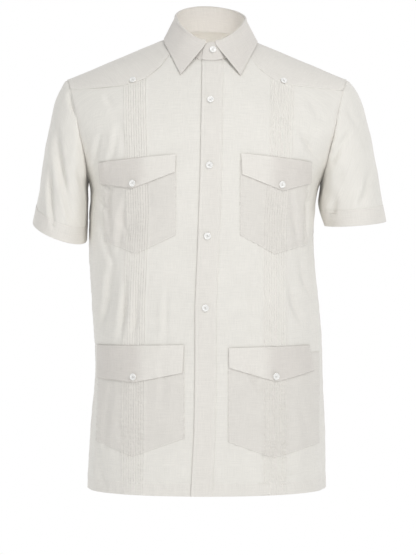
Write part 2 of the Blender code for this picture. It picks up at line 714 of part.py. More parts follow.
def button_mesh():
    profile = bmesh.new()
    verts = [
        profile.verts.new((share * BUTTON_RADIUS, 0, level * BUTTON_HEIGHT)) for share, level in BUTTON_PROFILE
    ]
    for first, second in zip(verts, verts[1:]):
        profile.edges.new((first, second))
    bmesh.ops.spin(
        profile,
        geom=profile.verts[:] + profile.edges[:],
        axis=(0, 0, 1),
        cent=(0, 0, 0),
        angle=2 * math.pi,
        steps=BUTTON_SIDES,
        use_merge=True,
    )
    bmesh.ops.remove_doubles(profile, verts=profile.verts[:], dist=0.00001)
    bmesh.ops.recalc_face_normals(profile, faces=profile.faces[:])
    data = bpy.data.meshes.new("button")
    profile.to_mesh(data)
    profile.free()
    data.shade_smooth()
    data.set_sharp_from_angle(angle=math.radians(35))
    return data


def build_buttons():
    """Each button stands on its shank over the piece it is sewn on, where a line along Y meets it."""
    data = button_mesh()
    for name, piece, x, z in BUTTONS:
        place, facing, _, _ = outer_faces[piece].ray_cast(Vector((x, -1, z)), Vector((0, 1, 0)))
        made = add_object("button_" + name, data, "button")
        made.rotation_mode = "QUATERNION"
        made.rotation_quaternion = facing.to_track_quat("Z", "Y")
        made.location = place + facing * BUTTON_SHANK


for thing in list(bpy.data.objects):
    bpy.data.objects.remove(thing)
garment = bpy.data.collections.new("guayabera")
bpy.context.scene.collection.children.link(garment)
outer_faces = {}

build_fronts()
back_edge_runs = build_back()
build_yoke()
yoke_edge_runs = yoke_ring()[-1]
pit_row = ROW_Z.index(PIT_Z)
for sleeve_side, sleeve_name in ((1, "left"), (-1, "right")):
    front_edge_runs = front_grid(sleeve_side)[1][pit_row:, -1]
    armhole_runs = (front_edge_runs, yoke_edge_runs, back_edge_runs[pit_row + 1 :])
    build_sleeve(sleeve_side, sleeve_name, armhole_runs)
build_collar()
build_pockets()
build_buttons()
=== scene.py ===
"""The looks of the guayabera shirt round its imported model: cloth, stitching, buttons, light and camera.

Metres, +Z up, the front towards -Y and the wearer's left towards +X. The trunk is one form, worked out
at (u, run): u goes from -1 to 1 between the armholes or side seams, and run is the length along the
cloth from the shoulder ridge, negative down the front and positive down the back. Each shell's grid
is its outer face, with folds, tucks and seams as heights above that form.
"""

import math

import bmesh
import bpy
import numpy as np
from mathutils import Matrix, Vector
from mathutils.bvhtree import BVHTree


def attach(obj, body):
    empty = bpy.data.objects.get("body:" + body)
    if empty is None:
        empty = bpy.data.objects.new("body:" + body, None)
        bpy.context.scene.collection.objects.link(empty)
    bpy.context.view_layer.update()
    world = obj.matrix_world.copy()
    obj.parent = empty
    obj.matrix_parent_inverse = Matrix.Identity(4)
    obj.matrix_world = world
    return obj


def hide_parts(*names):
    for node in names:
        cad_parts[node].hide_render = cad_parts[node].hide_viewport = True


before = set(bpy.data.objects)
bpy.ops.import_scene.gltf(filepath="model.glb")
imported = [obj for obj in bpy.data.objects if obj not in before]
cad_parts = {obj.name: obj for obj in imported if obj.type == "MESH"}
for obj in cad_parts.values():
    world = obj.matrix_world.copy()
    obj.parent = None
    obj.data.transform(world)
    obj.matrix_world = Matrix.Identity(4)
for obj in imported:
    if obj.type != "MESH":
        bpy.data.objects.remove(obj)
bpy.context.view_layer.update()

MM = 0.001

# The form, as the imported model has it
PLY = 1.45 * MM
TUCKS = 10
TUCK_BAND = 40 * MM
TUCK_HEIGHT = 0.85 * MM
SQUARENESS = 2.3
LEVELS = (  # z, half width, armhole edge, middle, front depth, back depth
    (-0.753, 0.2000, 0.2000, -0.0010, 0.1460, 0.131),
    (-0.640, 0.1960, 0.1960, 0.0010, 0.1440, 0.127),
    (-0.550, 0.1910, 0.1910, 0.0030, 0.1415, 0.122),
    (-0.440, 0.1910, 0.1910, -0.0030, 0.1390, 0.119),
    (-0.355, 0.1895, 0.1895, -0.0095, 0.1380, 0.121),
    (-0.300, 0.1900, 0.1900, -0.0090, 0.1380, 0.124),
    (-0.238, 0.1965, 0.1965, -0.0035, 0.1385, 0.126),
    (-0.210, 0.2120, 0.1995, -0.0010, 0.1380, 0.127),
    (-0.165, 0.2360, 0.2090, 0.0000, 0.1330, 0.1265),
)
HEM_Z = LEVELS[0][0]
PIT_Z = -0.238
CHEST_Z = -0.128
FRONT_RUN = -0.068
BACK_RUN = 0.1006
FRONT_RUNS = (-0.86, -0.03)  # from below the hem to near the neck
SHOULDER = (  # run, z at the middle, z at the armhole, depth, half width, armhole edge
    (-0.1864, -0.1206, -0.1320, -0.1186, 0.2494, 0.2155),
    (-0.1233, -0.0646, -0.0950, -0.0896, 0.2598, 0.2245),
    (-0.0643, -0.0176, -0.0755, -0.0541, 0.2674, 0.2310),
    (0.0000, 0.0145, -0.0680, 0.0000, 0.2725, 0.2355),
    (0.0576, 0.0220, -0.0773, 0.0570, 0.2674, 0.2310),
    (0.1032, -0.0080, -0.0944, 0.0900, 0.2598, 0.2245),
    (0.1673, -0.0680, -0.1160, 0.1120, 0.2530, 0.2190),
    (0.2052, -0.1050, -0.1322, 0.1200, 0.2494, 0.2155),
)
TILT_ROUND = 0.25
NECK_X = 0.006
NECK_HALF = 0.063
NECK_FRONT_RUN = 0.100
NECK_BACK_RUN = 0.0576
YOKE_ANGLE = math.radians(62)
NAPE_ANGLE = math.radians(115)
STAND_RISE = (0.0305, 0.0350, 0.0405)
STAND_LEAN = (0.0090, 0.0050, 0.0050)
STAND_BASE = 0.6 * MM
LEAF_OPENING = math.radians(8)
LEAF_POINT = (0.049, -0.127)
LEAF_SIDE = 0.0785
LEAF_BACK_RUN = 0.075
LEAF_LIFT = 2.7 * MM
LEAF_ROLL = ((-0.0014, 0.0006), (0.0011, 0.0022), (0.0026, 0.0008), (0.0034, -0.0040))
LEAF_FALL = (0.34, 0.68, 1.0)
LEAF_BULGE = -0.5 * MM
FREE_EDGE = (
    (-0.753, -0.0261),
    (-0.651, -0.0208),
    (-0.550, -0.0192),
    (-0.4485, -0.0192),
    (-0.336, -0.0144),
    (-0.222, -0.0106),
    (-0.046, -0.0080),
)
PLACKET = 35 * MM
PLACKET_LEVEL = -0.075  # z up to which its rows lie level
UNDERLAP = 30 * MM
UNDERLAP_EASE = -28 * MM
OVERLAP_EASE = 52 * MM
BAND_MIDDLE = {
    1: ((-0.753, 0.1097), (-0.300, 0.1097), (-0.200, 0.1190), (-0.080, 0.1238)),
    -1: ((-0.753, -0.1207), (-0.450, -0.1180), (-0.300, -0.1112), (-0.080, -0.1181)),
}
YOKE_SEAM = (
    (-0.041, -0.0545),
    (-0.020, -0.0725),
    (0.000, -0.0815),
    (0.020, -0.0860),
    (0.060, -0.0890),
    (0.120, -0.0902),
)
YOKE_Z = -0.08  # about the height of that seam
BACK_SEAM_Z = -0.095
CUFF_DEPTH = 28 * MM
CUFF_EDGE = {  # outer, front, inner, back
    1: ((0.301, -0.01, -0.306), (0.247, -0.074, -0.316), (0.1985, -0.008, -0.3135), (0.248, 0.058, -0.304)),
    -1: ((-0.292, -0.014, -0.306), (-0.246, -0.08, -0.339), (-0.2022, -0.012, -0.338), (-0.247, 0.052, -0.3)),
}
SLEEVE_START = ((0.096, 0.0, -0.048), (0.035, -0.030, -0.130), (0.004, 0.0, -0.060), (0.035, 0.030, -0.130))
SLEEVE_END = {
    1: ((0.040, 0.0, -0.200), (0.030, -0.004, -0.140), (0.0165, 0.0, -0.0475), (0.030, 0.0, -0.140)),
    -1: ((0.040, 0.0, -0.200), (0.030, -0.004, -0.140), (0.002, 0.0, -0.050), (0.030, 0.0, -0.140)),
}
POCKET_DROP = 12 * MM
POCKETS = {  # flap: top left, top right, bottom right, point, bottom left; pocket: right, point, left
    "upper_right": (
        ((-0.1768, -0.2124), (-0.0498, -0.2021), (-0.0514, -0.2311), (-0.1207, -0.2569), (-0.1745, -0.2470)),
        ((-0.0498, -0.3326), (-0.1142, -0.3632), (-0.1700, -0.3420)),
    ),
    "upper_left": (
        ((0.0548, -0.2005), (0.1707, -0.2115), (0.1710, -0.2451), (0.1225, -0.2601), (0.0564, -0.2344)),
        ((0.1653, -0.3473), (0.1096, -0.3632), (0.0532, -0.3326)),
    ),
    "lower_right": (
        ((-0.1816, -0.5125), (-0.0369, -0.5097), (-0.0392, -0.5548), (-0.1170, -0.5710), (-0.1816, -0.5660)),
        ((-0.0369, -0.6602), (-0.1213, -0.6916), (-0.1820, -0.6700)),
    ),
    "lower_left": (
        ((0.0349, -0.5145), (0.1692, -0.5120), (0.1756, -0.5540), (0.1120, -0.5700), (0.0355, -0.5467)),
        ((0.1860, -0.6740), (0.1073, -0.6932), (0.0339, -0.6658)),
    ),
}

# Creases of the worn cloth, in mm: x and z of both ends, how far the middle bows aside, half width, depth,
# and last the bank beside the trough, as a share of the depth and negative for the other side
BROAD_FRONT = (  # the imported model's folds
    (-147, -375, -172, -500, 0, 15, 4, 0),
    (-128, -400, -142, -505, 0, 13, 3, 0),
    (-132, -290, -120, -350, 0, 13, 3, 0),
    (132, -405, 158, -490, 0, 14, 3.5, 0),
    (150, -370, 172, -450, 0, 13, 3, 0),
    (152, -155, 190, -215, 0, 14, 3.5, 0),
)
BROAD_BACK = (
    (-120, -360, -155, -520, 0, 18, 4.5, 0),
    (130, -340, 150, -490, 0, 16, 4, 0),
    (35, -380, 55, -560, 0, 18, 3.5, 0),
    (-150, -170, -185, -240, 0, 14, 3.5, 0),
    (150, -160, 187, -235, 0, 14, 3.5, 0),
)
FINE_FRONT = (
    (-145, -150, -164, -232, -3, 5, 2.6, 0.5),
    (-172, -160, -186, -225, 2, 4.5, 2.8, 0.4),
    (-178, -235, -150, -262, 2, 3.8, 2.2, 0.5),
    (-182, -262, -158, -300, 1, 4, 2.6, 0.5),
    (-160, -238, -156, -335, 3, 4.5, 2.4, -0.4),
    (-178, -300, -164, -372, -2, 4.2, 2.4, 0.4),
    (-140, -300, -125, -345, 1, 4, 1.8, 0.5),
    (-176, -400, -183, -480, 0, 4.5, 2, 0.4),
    (-100, -230, -90, -300, 2, 6, 1.4, 0.4),
    (178, -260, 156, -300, 2, 4.2, 2.2, 0.5),
    (180, -310, 168, -375, 1, 4.5, 2.2, 0.4),
    (120, -300, 128, -352, 1, 4.5, 1.6, 0.5),
    (150, -590, 170, -670, 3, 5.5, 2, 0.5),
    (70, -600, 85, -655, 2, 6, 1.4, 0.4),
    (-110, -455, -125, -500, 1, 5, 1.6, 0.5),
    (-145, -620, -135, -680, 1, 5, 1.6, 0.5),
    (-131.5, -262, -145, -372, 2, 4.5, 4.2, 0.5),
    (-168, -326, -154, -388, 0, 4, 3.2, 0.4),
    (-150, -362, -177, -505, 3, 5, 4.8, 0.5),
    (-132, -385, -146, -515, -3, 5, 4.5, 0.5),
    (-108, -395, -119, -520, 3, 5.5, 3.2, 0.4),
    (-64, -405, -65.5, -530, 2, 4.5, 2.4, 0.6),
    (-71.5, -515, -74, -625, -2, 5, 2.2, 0.6),
    (-156, -565, -164, -690, 4, 6, 2.6, 0.4),
    (-150, -130, -133, -215, -4, 7, 1.9, 0.4),
    (-170, -95, -150, -125, 2, 5.5, 1.9, 0.5),
    (136, -250, 152.5, -366, 3, 4.2, 4.2, -0.4),
    (165.5, -245, 158, -360, -2, 4.2, 3.8, 0.4),
    (133, -400, 158, -482, 3, 5, 3.5, 0.5),
    (150, -362, 180, -450, 3, 5, 3.2, 0.5),
    (165, -440, 183, -505, 0, 4.5, 2.2, 0.5),
    (69, -360, 84, -500, 4, 8, 2.4, 0.5),
    (148, -150, 196, -218, 4, 6, 3.2, 0.5),
    (162, -100, 185, -150, -3, 7, 2.2, 0.5),
    (46, -515, 91, -600, -4, 5, 3.5, 0.5),
    (90, -725, 165, -716, 2, 3.5, 1.9, 0.6),
    (-90, -722, -56, -748, 3, 3.5, 1.9, 0.6),
    (-180, -700, -165, -752, 0, 6, 3.2, 0.4),
    (30, -600, 24, -740, 2, 10, 1.6, 0.4),
)
FINE_BACK = (
    (-118, -350, -156, -530, 4, 6, 6.3, 0.5),
    (-85, -390, -108, -560, -4, 7, 4.9, 0.5),
    (128, -330, 152, -500, -4, 6, 6.3, 0.5),
    (94, -400, 112, -550, 3, 7, 4.5, 0.5),
    (33, -370, 56, -570, 4, 8, 4.9, 0.5),
    (-30, -420, -36, -560, 2, 8, 3.6, 0.5),
    (-146, -160, -188, -245, 3, 6, 5.4, 0.5),
    (146, -150, 190, -240, -3, 6, 5.4, 0.5),
    (-60, -650, -80, -752, 0, 9, 3.6, 0.4),
    (80, -660, 70, -752, 2, 9, 3.6, 0.4),
    (-175, -560, -168, -700, 3, 7, 4, 0.4),
    (172, -540, 178, -690, -3, 7, 4, 0.4),
)
SLEEVE_CREASES = {
    -1: (
        (-248, -150, -223, -285, 7, 6, 8.8, 0.4),
        (-256, -205, -250, -330, 5, 3.6, 6, 0.5),
        (-213, -215, -202, -262, 0, 5, 3.4, 0.5),
        (-230, -88, -213, -142, 2, 4.2, 5.8, -0.4),
        (-235, -255, -218, -318, 2, 6, 3.8, 0.4),
    ),
    1: (
        (245, -150, 198, -225, 3, 6, 4.3, 0.5),
        (270, -215, 244, -292, -8, 6, 4.6, 0.5),
        (233, -225, 206, -252, 3, 8, 2.9, 0.4),
        (230, -110, 256, -160, 2, 7, 2, 0.4),
        (212, -262, 205, -318, 0, 5, 4.3, 0.4),
    ),
}

# Grid steps and the distances of stitch lines from their edges
STEP = 3.0 * MM
ROW_STEP = 2.4 * MM
EDGE_STEPS = (0.4 * MM, 1.0 * MM, 2.0 * MM, 3.0 * MM)
EDGE_STITCH = 2.0 * MM
SEAM_STITCH = 7 * MM
PLACKET_STITCH = 4 * MM
HEM_DEPTH = 20 * MM
TUCK_PHASES = (0.0, 0.20, 0.42, 0.58, 0.66, 0.73, 0.87)
TUCK_PROFILE = ((0.0, 0.0), (0.20, 0.42), (0.42, 0.80), (0.58, 1.0), (0.66, 0.86), (0.73, 0.0), (1.0, 0.0))
THIN = 0.45 * MM
DOUBLE = 0.75 * MM


def column(rows, index):
    return np.array([row[index] for row in rows])


def smooth(at, knots, values):
    """A cubic through the values, with each slope taken from the rows on either side."""
    at = np.clip(at, knots[0], knots[-1])
    slopes = np.gradient(values, knots, axis=0)
    low = np.clip(np.searchsorted(knots, at, side="right") - 1, 0, len(knots) - 2)
    span = knots[low + 1] - knots[low]
    s = (at - knots[low]) / span
    if values.ndim > 1:
        s, span = (part.reshape(-1, *[1] * (values.ndim - 1)) for part in (s, span))
    level = values[low] * (1 + 2 * s) * (1 - s) ** 2 + values[low + 1] * s * s * (3 - 2 * s)
    return level + span * s * (1 - s) * (slopes[low] * (1 - s) - slopes[low + 1] * s)


def ease(at, start, end):
    """0 before start and 1 after end, with a smooth change between them."""
    s = np.clip((np.asarray(at) - start) / (end - start), 0, 1)
    return s * s * (3 - 2 * s)


def trunk_rows():
    front = [(z + FRONT_RUN, z, z, -ahead, half, edge, middle) for z, half, edge, middle, ahead, _ in LEVELS]
    back = [
        (BACK_RUN - z, z, z, behind, half, edge, middle)
        for z, half, edge, middle, _, behind in reversed(LEVELS)
    ]
    return front + [row + (0.0,) for row in SHOULDER] + back


TRUNK = trunk_rows()
RUNS = column(TRUNK, 0)


def section(run):
    return [smooth(run, RUNS, column(TRUNK, index)) for index in range(1, 7)]


def trunk(u, run):
    """The trunk's outer face at (u, run), without folds."""
    u, run = np.broadcast_arrays(np.asarray(u, float), np.asarray(run, float))
    z_mid, z_edge, depth, half, edge, middle = section(run)
    reach = np.arcsin(np.minimum(edge / half, 1) ** (SQUARENESS / 2))
    angle = np.abs(u) * reach
    out = half * np.sin(angle) ** (2 / SQUARENESS)
    y = depth * np.maximum(np.cos(angle), 0) ** (2 / SQUARENESS)
    tilt = np.hypot(out / edge, TILT_ROUND) - TILT_ROUND
    z = z_mid + (z_edge - z_mid) * tilt / (math.hypot(1, TILT_ROUND) - TILT_ROUND)
    return np.stack([middle + np.sign(u) * out, y, z], -1)


def unit(vectors):
    return vectors / np.maximum(np.linalg.norm(vectors, axis=-1, keepdims=True), 1e-12)


def outward(u, run):
    across = trunk(np.clip(u + 0.004, -1, 1), run) - trunk(np.clip(u - 0.004, -1, 1), run)
    along = trunk(u, run + 0.002) - trunk(u, run - 0.002)
    return unit(np.cross(across, along))


def u_at(x, run):
    _, _, _, half, edge, middle = section(run)
    reach = np.arcsin(np.minimum(edge / half, 1) ** (SQUARENESS / 2))
    share = np.minimum(np.abs(x - middle) / half, 1)
    return np.sign(x - middle) * np.minimum(np.arcsin(share ** (SQUARENESS / 2)) / reach, 1)


def run_at(x, z, low, high):
    """The run between low and high, on the front, at which the trunk passes x and z."""
    low, high = np.full(np.shape(x), low), np.full(np.shape(x), high)
    for _ in range(30):
        middle = (low + high) / 2
        above = trunk(u_at(x, middle), middle)[..., 2] > z
        high = np.where(above, middle, high)
        low = np.where(above, low, middle)
    return (low + high) / 2


def run_of_back_seam(u):
    low, high = np.full(np.shape(u), 0.06), np.full(np.shape(u), 0.30)
    for _ in range(30):
        middle = (low + high) / 2
        above = trunk(u, middle)[..., 2] > BACK_SEAM_Z
        low, high = np.where(above, middle, low), np.where(above, high, middle)
    return (low + high) / 2


def line(table):
    return lambda z: np.interp(z, column(table, 0), column(table, 1))


free_edge = line(FREE_EDGE)
band_line = {side: line(table) for side, table in BAND_MIDDLE.items()}


def neckline(angle):
    depth = np.where(np.cos(angle) > 0, NECK_FRONT_RUN, NECK_BACK_RUN)
    return NECK_X + NECK_HALF * np.sin(angle), -depth * np.cos(angle)


def top_runs(side, x):
    """The run of a front's upper edge at each x: the neckline, then the yoke's seam."""
    corner, _ = neckline(side * YOKE_ANGLE)
    corner_run = neckline(YOKE_ANGLE)[1]
    share = np.minimum(np.abs(x - NECK_X) / NECK_HALF, 1)
    neck = -NECK_FRONT_RUN * np.sqrt(1 - share**2)
    middle = float(band_line[side](YOKE_Z))
    across = np.r_[side * (corner - middle), column(YOKE_SEAM, 0)]
    corner_z = float(trunk(u_at(corner, corner_run), corner_run)[2])
    z = np.interp(side * (x - middle), across, np.r_[corner_z, column(YOKE_SEAM, 1)])
    return np.where(side * (x - corner) <= 1e-6, neck, run_at(x, z, -0.30, 0.0))


def run_of_front_seam():
    return float(np.interp(YOKE_SEAM[-1][1], column(SHOULDER[:4], 2), column(SHOULDER[:4], 0)))


# Heights above the form


def bell(distance, width):
    """1 where the distance is 0, falling to almost nothing at two widths."""
    return np.exp(-((distance / width) ** 2))


def wander(at, wave, seed):
    """A smooth irregular value of about -1 to 1 along a length, with a swing about every wave."""
    rng = np.random.default_rng(seed)
    total = 0.0
    for _ in range(4):
        swing = wave * rng.uniform(0.6, 1.7)
        total = total + np.sin(2 * math.pi * at / swing + rng.uniform(0, 2 * math.pi))
    return total / 2.6


def billow(points, wave, seed, upright=0.45):
    """Soft swells all over the cloth, longer down it than across."""
    rng = np.random.default_rng(seed)
    total = 0.0
    for _ in range(7):
        way = rng.normal(size=3) * (1, 1, upright)
        way = way / np.linalg.norm(way) * 2 * math.pi / (wave * rng.uniform(0.6, 1.5))
        total = total + np.sin(points @ way + rng.uniform(0, 2 * math.pi))
    return total / 3.5


def creases(x, z, table):
    height = np.zeros(np.shape(x))
    for *sizes, bank in table:
        x0, z0, x1, z1, bow, half, depth = (size * MM for size in sizes)
        length = math.hypot(x1 - x0, z1 - z0)
        along = np.clip(((x - x0) * (x1 - x0) + (z - z0) * (z1 - z0)) / length**2, 0, 1)
        aside = ((x - x0) * (z1 - z0) - (z - z0) * (x1 - x0)) / length - bow * 4 * along * (1 - along)
        fade = np.sin(math.pi * along) ** (2 if bank == 0 else 1.2)
        trough = bell(aside, half)
        ridge = abs(bank) * bell(aside - math.copysign(1.8 * half, bank), 1.3 * half)
        height += depth * fade * (ridge - trough)
    return height


def tuck_height(x, z, side):
    across = side * (x - band_line[side](z)) + TUCK_BAND / 2
    phase = np.mod(across / TUCK_BAND * TUCKS, 1)
    inside = (across > -1e-7) & (across < TUCK_BAND - 1e-7)
    rise = np.interp(phase, column(TUCK_PROFILE, 0), column(TUCK_PROFILE, 1))
    return np.where(inside, TUCK_HEIGHT * rise, 0)


PUCKERS = {  # z, how strong the ripples across the tucks are
    -1: (
        (-0.753, 0.5), (-0.70, 0.8), (-0.60, 0.9), (-0.575, 1.2), (-0.54, 0.2),
        (-0.40, 0.3), (-0.30, 0.7), (-0.25, 0.3), (-0.10, 0.5), (-0.08, 0.2),
    ),
    1: (
        (-0.753, 0.6), (-0.69, 1.5), (-0.64, 1.6), (-0.60, 1.5), (-0.56, 0.5),
        (-0.40, 0.3), (-0.30, 0.5), (-0.25, 0.3), (-0.12, 0.6), (-0.08, 0.3),
    ),
}
PUCKER_HEIGHT = 0.85 * MM


def puckers(x, z, side):
    """Short ripples across the tucks, where their stitching draws the cloth up."""
    across = side * (x - band_line[side](z)) / (TUCK_BAND / 2)
    strength = np.interp(z, column(PUCKERS[side], 0), column(PUCKERS[side], 1))
    reach = np.exp(-((np.abs(across) / 1.25) ** 6))
    waves = wander(z + 0.10 * x, 11 * MM, 11) + 0.6 * wander(z - 0.22 * x, 15 * MM, 13)
    waves = waves * (0.75 + 0.5 * wander(x, 22 * MM, 12))
    return PUCKER_HEIGHT * strength * reach * waves


def trunk_relief(points, u, front):
    """Folds and swells of the trunk, alike for every piece that lies on it."""
    x, z = points[..., 0], points[..., 2]
    height = creases(x, z, (BROAD_FRONT + FINE_FRONT) if front else (BROAD_BACK + FINE_BACK))
    calm = 1 - ease(np.abs(u), 0.90, 1.0) * ease(z, -0.27, -0.22)
    quiet = 0.35 + 0.65 * ease(-z, 0.10, 0.30)
    swell = 1.2 * MM * billow(points, 0.085, 3) + 0.50 * MM * billow(points, 0.030, 4)
    worn = ease(np.abs(u), 0.35, 0.75)
    height += calm * quiet * (swell * (0.6 + 0.4 * worn) + 0.16 * MM * worn * billow(points, 0.012, 5))
    return height * np.where(z > -0.27, calm, 1)


def on_front(x, z, side, tucked=1.0):
    """Points and normals of the front at x and z, with its folds, and its tucks unless tucked is 0."""
    run = run_at(x, z, *FRONT_RUNS)
    u = u_at(x, run)
    points, normals = trunk(u, run), outward(u, run)
    x, z = points[..., 0], points[..., 2]
    height = trunk_relief(points, u, front=True)
    height = height + puckers(x, z, side) + tucked * tuck_height(x, z, side)
    return points + normals * height[..., None], normals


# Grids


def ruler(length, step, start=(), end=()):
    """Places from 0 to length about a step apart, with the named ones after the start and before the end."""
    first = max(start) if start else 0
    last = length - (max(end) if end else 0)
    middle = np.linspace(first, last, max(2, round((last - first) / step) + 1))
    places = np.r_[0, sorted(start), middle, length - np.array(sorted(end, reverse=True)), length]
    return np.unique(np.round(places, 7))


def between(first, second, shares):
    return [lambda z, t=t: (1 - t) * first(z) + t * second(z) for t in shares]


def offset(base, out):
    return lambda z: base(z) + out


def tuck_lines(side):
    pitch = TUCK_BAND / TUCKS
    outs = [(tuck + phase) * pitch for tuck in range(TUCKS) for phase in TUCK_PHASES] + [TUCK_BAND]
    return [offset(band_line[side], side * (out - TUCK_BAND / 2)) for out in outs]


def evaluate(lines, z):
    """x of each column's line at its own z."""
    return np.stack([lines[place](z[..., place]) for place in range(len(lines))], -1)


def top_of(lines, side):
    """The run at which each column's line meets the front's upper edge."""
    x = evaluate(lines, np.full(len(lines), YOKE_Z))
    top = top_runs(side, x)
    for _ in range(4):
        x = evaluate(lines, trunk(u_at(x, top), top)[..., 2])
        top = top_runs(side, x)
    return top


def u_along(lines, run):
    """u of each column's line at every run."""
    z = section(run)[0]
    for _ in range(4):
        u = u_at(evaluate(lines, z), run)
        z = trunk(u, run)[..., 2]
    return u


def lengths(points, axis):
    """The length along a grid from its first row or column."""
    step = np.linalg.norm(np.diff(points, axis=axis), axis=-1)
    pad = [(0, 0), (0, 0)]
    pad[axis] = (1, 0)
    return np.cumsum(np.pad(step, pad), axis=axis)


def path_length(points):
    """The length along a line of points, at each of them."""
    return np.r_[0, np.cumsum(np.linalg.norm(np.diff(points, axis=0), axis=1))]


def nearest(places, wanted):
    """The index of the place nearest the wanted one."""
    return int(np.argmin(np.abs(places - wanted)))


def grid_normals(points, across=None):
    """Unit normals of a grid, from its neighbours along both ways."""
    across = np.gradient(points, axis=1) if across is None else across
    return unit(np.cross(across, np.gradient(points, axis=0)))


def ring_normals(points):
    """Unit normals of a grid whose rows close into rings, facing out of them."""
    normals = grid_normals(points, np.roll(points, -1, 1) - np.roll(points, 1, 1))
    out = np.sum(normals * (points - points.mean(axis=1, keepdims=True)))
    return -normals if out < 0 else normals


def level_rows():
    """z of the trunk's rows, from the hem to the chest."""
    marks = (0.5 * MM, 1.5 * MM, 5 * MM, 9 * MM, 13 * MM, 17 * MM)
    marks += (HEM_DEPTH - 1.0 * MM, HEM_DEPTH, HEM_DEPTH + 1.0 * MM)
    return HEM_Z + ruler(CHEST_Z - HEM_Z, ROW_STEP, start=marks)


def climb(levels, shares, top):
    """Runs of a grid: by levels to the chest, then by shares of the way to each column's top."""
    upper = levels[-1] + shares[:, None] * (top - levels[-1])
    return np.vstack([np.repeat(levels[:, None], len(top), 1), upper])


UPPER_SHARES = np.linspace(0, 1, 19)[1:] ** 0.9
HEM_FOLD = (  # height above the hem's edge, how far in, from the raw edge inside round the fold
    (0.0195, 1.05),
    (0.0130, 1.05),
    (0.0065, 1.05),
    (0.0010, 1.00),
    (0.0001, 0.75),
    (-0.0003, 0.40),
)


def hem_rows(points, normals):
    """Rows that go round the hem's edge and up inside it, for the bottom row of a grid and those above it."""
    rows = []
    heights = lengths(points, 0)
    for up, inside in HEM_FOLD:
        row = np.array([
            [np.interp(max(up, 0), heights[:, place], points[:, place, axis]) for axis in range(3)]
            for place in range(points.shape[1])
        ])
        row = row - normals[0] * (inside * MM)
        row[:, 2] += min(up, 0)
        rows.append(row)
    return np.array(rows)


def front_grid(side):
    """u and run of a front's grid, and the column at the neckline's corner, where the yoke's seam begins."""
    corner, _ = neckline(side * YOKE_ANGLE)
    ends = (0.0, OVERLAP_EASE) if side > 0 else (UNDERLAP, UNDERLAP_EASE)
    first, second = offset(free_edge, ends[0]), offset(free_edge, ends[1])

    def leaning(z):
        return corner + free_edge(z) - free_edge(FREE_EDGE[-1][0])

    tucks = tuck_lines(side)
    near = ruler(abs(ends[1] - ends[0]), STEP, start=EDGE_STEPS)
    lines = between(first, second, near / near[-1])[:-1]
    lines += between(second, leaning, np.linspace(0, 1, 8))[:-1]
    seam_column = len(lines)
    lines += between(leaning, tucks[0], np.linspace(0, 1, 16))[:-1] + tucks
    levels = level_rows() + FRONT_RUN
    run = climb(levels, UPPER_SHARES, top_of(lines, side))
    u = u_along(lines, run)
    side_shares = ruler(0.115, STEP, end=EDGE_STEPS)[1:] / 0.115
    side_u = u[:, -1:] + side_shares * (side - u[:, -1:])
    x = trunk(side_u[-1], np.full(len(side_shares), run[-1, -1]))[:, 0]
    side_top = top_runs(side, x)
    side_top[-1] = run_of_front_seam()
    side_run = climb(levels, UPPER_SHARES, side_top)
    return np.hstack([u, side_u]), np.hstack([run, side_run]), seam_column


# Pieces


def add_object(name, data):
    made = bpy.data.objects.new(name, data)
    bpy.context.scene.collection.objects.link(made)
    return made


def add_piece(name, data, slot, *nodes):
    """A piece that shows, on the shirt's one body, in place of these CAD nodes."""
    made = add_object(name, data)
    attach(made, "root")
    if nodes:
        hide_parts(*nodes)
    return made


def cloth(name, points, out, thick, finish, ply_shade, ring=False):
    """A shell of cloth whose outer face is this grid, facing the way out points."""
    rows, places = points.shape[:2]
    index = np.arange(rows * places).reshape(rows, places)
    after = np.roll(index, -1, 1) if ring else index[:, 1:]
    here = index if ring else index[:, :-1]
    quads = np.stack([here[:-1], after[:-1], after[1:], here[1:]], -1).reshape(-1, 4)
    flat = points.reshape(-1, 3)
    one, two = flat[quads[:, 2]] - flat[quads[:, 0]], flat[quads[:, 3]] - flat[quads[:, 1]]
    wanted = np.broadcast_to(out, points.shape).reshape(-1, 3)[quads[:, 0]]
    if np.sum(np.cross(one, two) * wanted) < 0:
        quads = quads[:, ::-1]
    data = bpy.data.meshes.new("shirt_" + name)
    data.from_pydata(flat.tolist(), [], quads.tolist())
    across, along = lengths(points, 1), lengths(points, 0)
    spots = np.stack([across.ravel(), along.ravel(), 0 * along.ravel()], -1)
    grain = data.attributes.new("grain", "FLOAT_VECTOR", "POINT")
    grain.data.foreach_set("vector", spots.astype(np.float32).ravel())
    # The attribute holds painted shade: how far each point takes its cloth's darker colour, where layers lie
    # doubled or on a flap's outer half.
    ply_shade_layer = data.attributes.new("ply_shade", "FLOAT", "POINT")
    ply_shade_layer.data.foreach_set("value", np.broadcast_to(ply_shade, (rows, places)).astype(np.float32).ravel())
    data.shade_smooth()
    data.materials.append(finish)
    made = add_piece("shirt_" + name, data, "shirting", name)
    shell = made.modifiers.new("Cloth", "SOLIDIFY")
    shell.thickness = thick
    shell.offset = -1
    shell.use_even_offset = False
    host_faces[name] = BVHTree.FromPolygons(flat.tolist(), quads.tolist())


def edge_relief(distance, groove=EDGE_STITCH, round_over=0.9 * MM, drop=0.35 * MM, press=0.22 * MM):
    """A folded edge: rounded over, with the stitch line pressed in beside it."""
    rounded = -drop * np.clip(1 - distance / round_over, 0, 1) ** 2
    return rounded - press * bell(distance - groove, 0.7 * MM)


def seam_pucker(along, distance, height, wave, seed):
    return height * wander(along, wave, seed) * np.exp(-distance / (5 * MM))


def hem_relief(up, across, ripple, seeds):
    """The hem's stitch line and turned-up layer, its long wave, and the ripples along its stitching."""
    hem = up - HEM_DEPTH
    height = 0.15 * MM * (1 - ease(hem, -1.5 * MM, 0)) - 0.20 * MM * bell(hem, 0.9 * MM)
    height += 0.45 * MM * wander(across, 16 * MM, seeds[0]) * bell(up, 16 * MM)
    return height + ripple * wander(across, 7 * MM, seeds[1]) * bell(hem, 5 * MM)


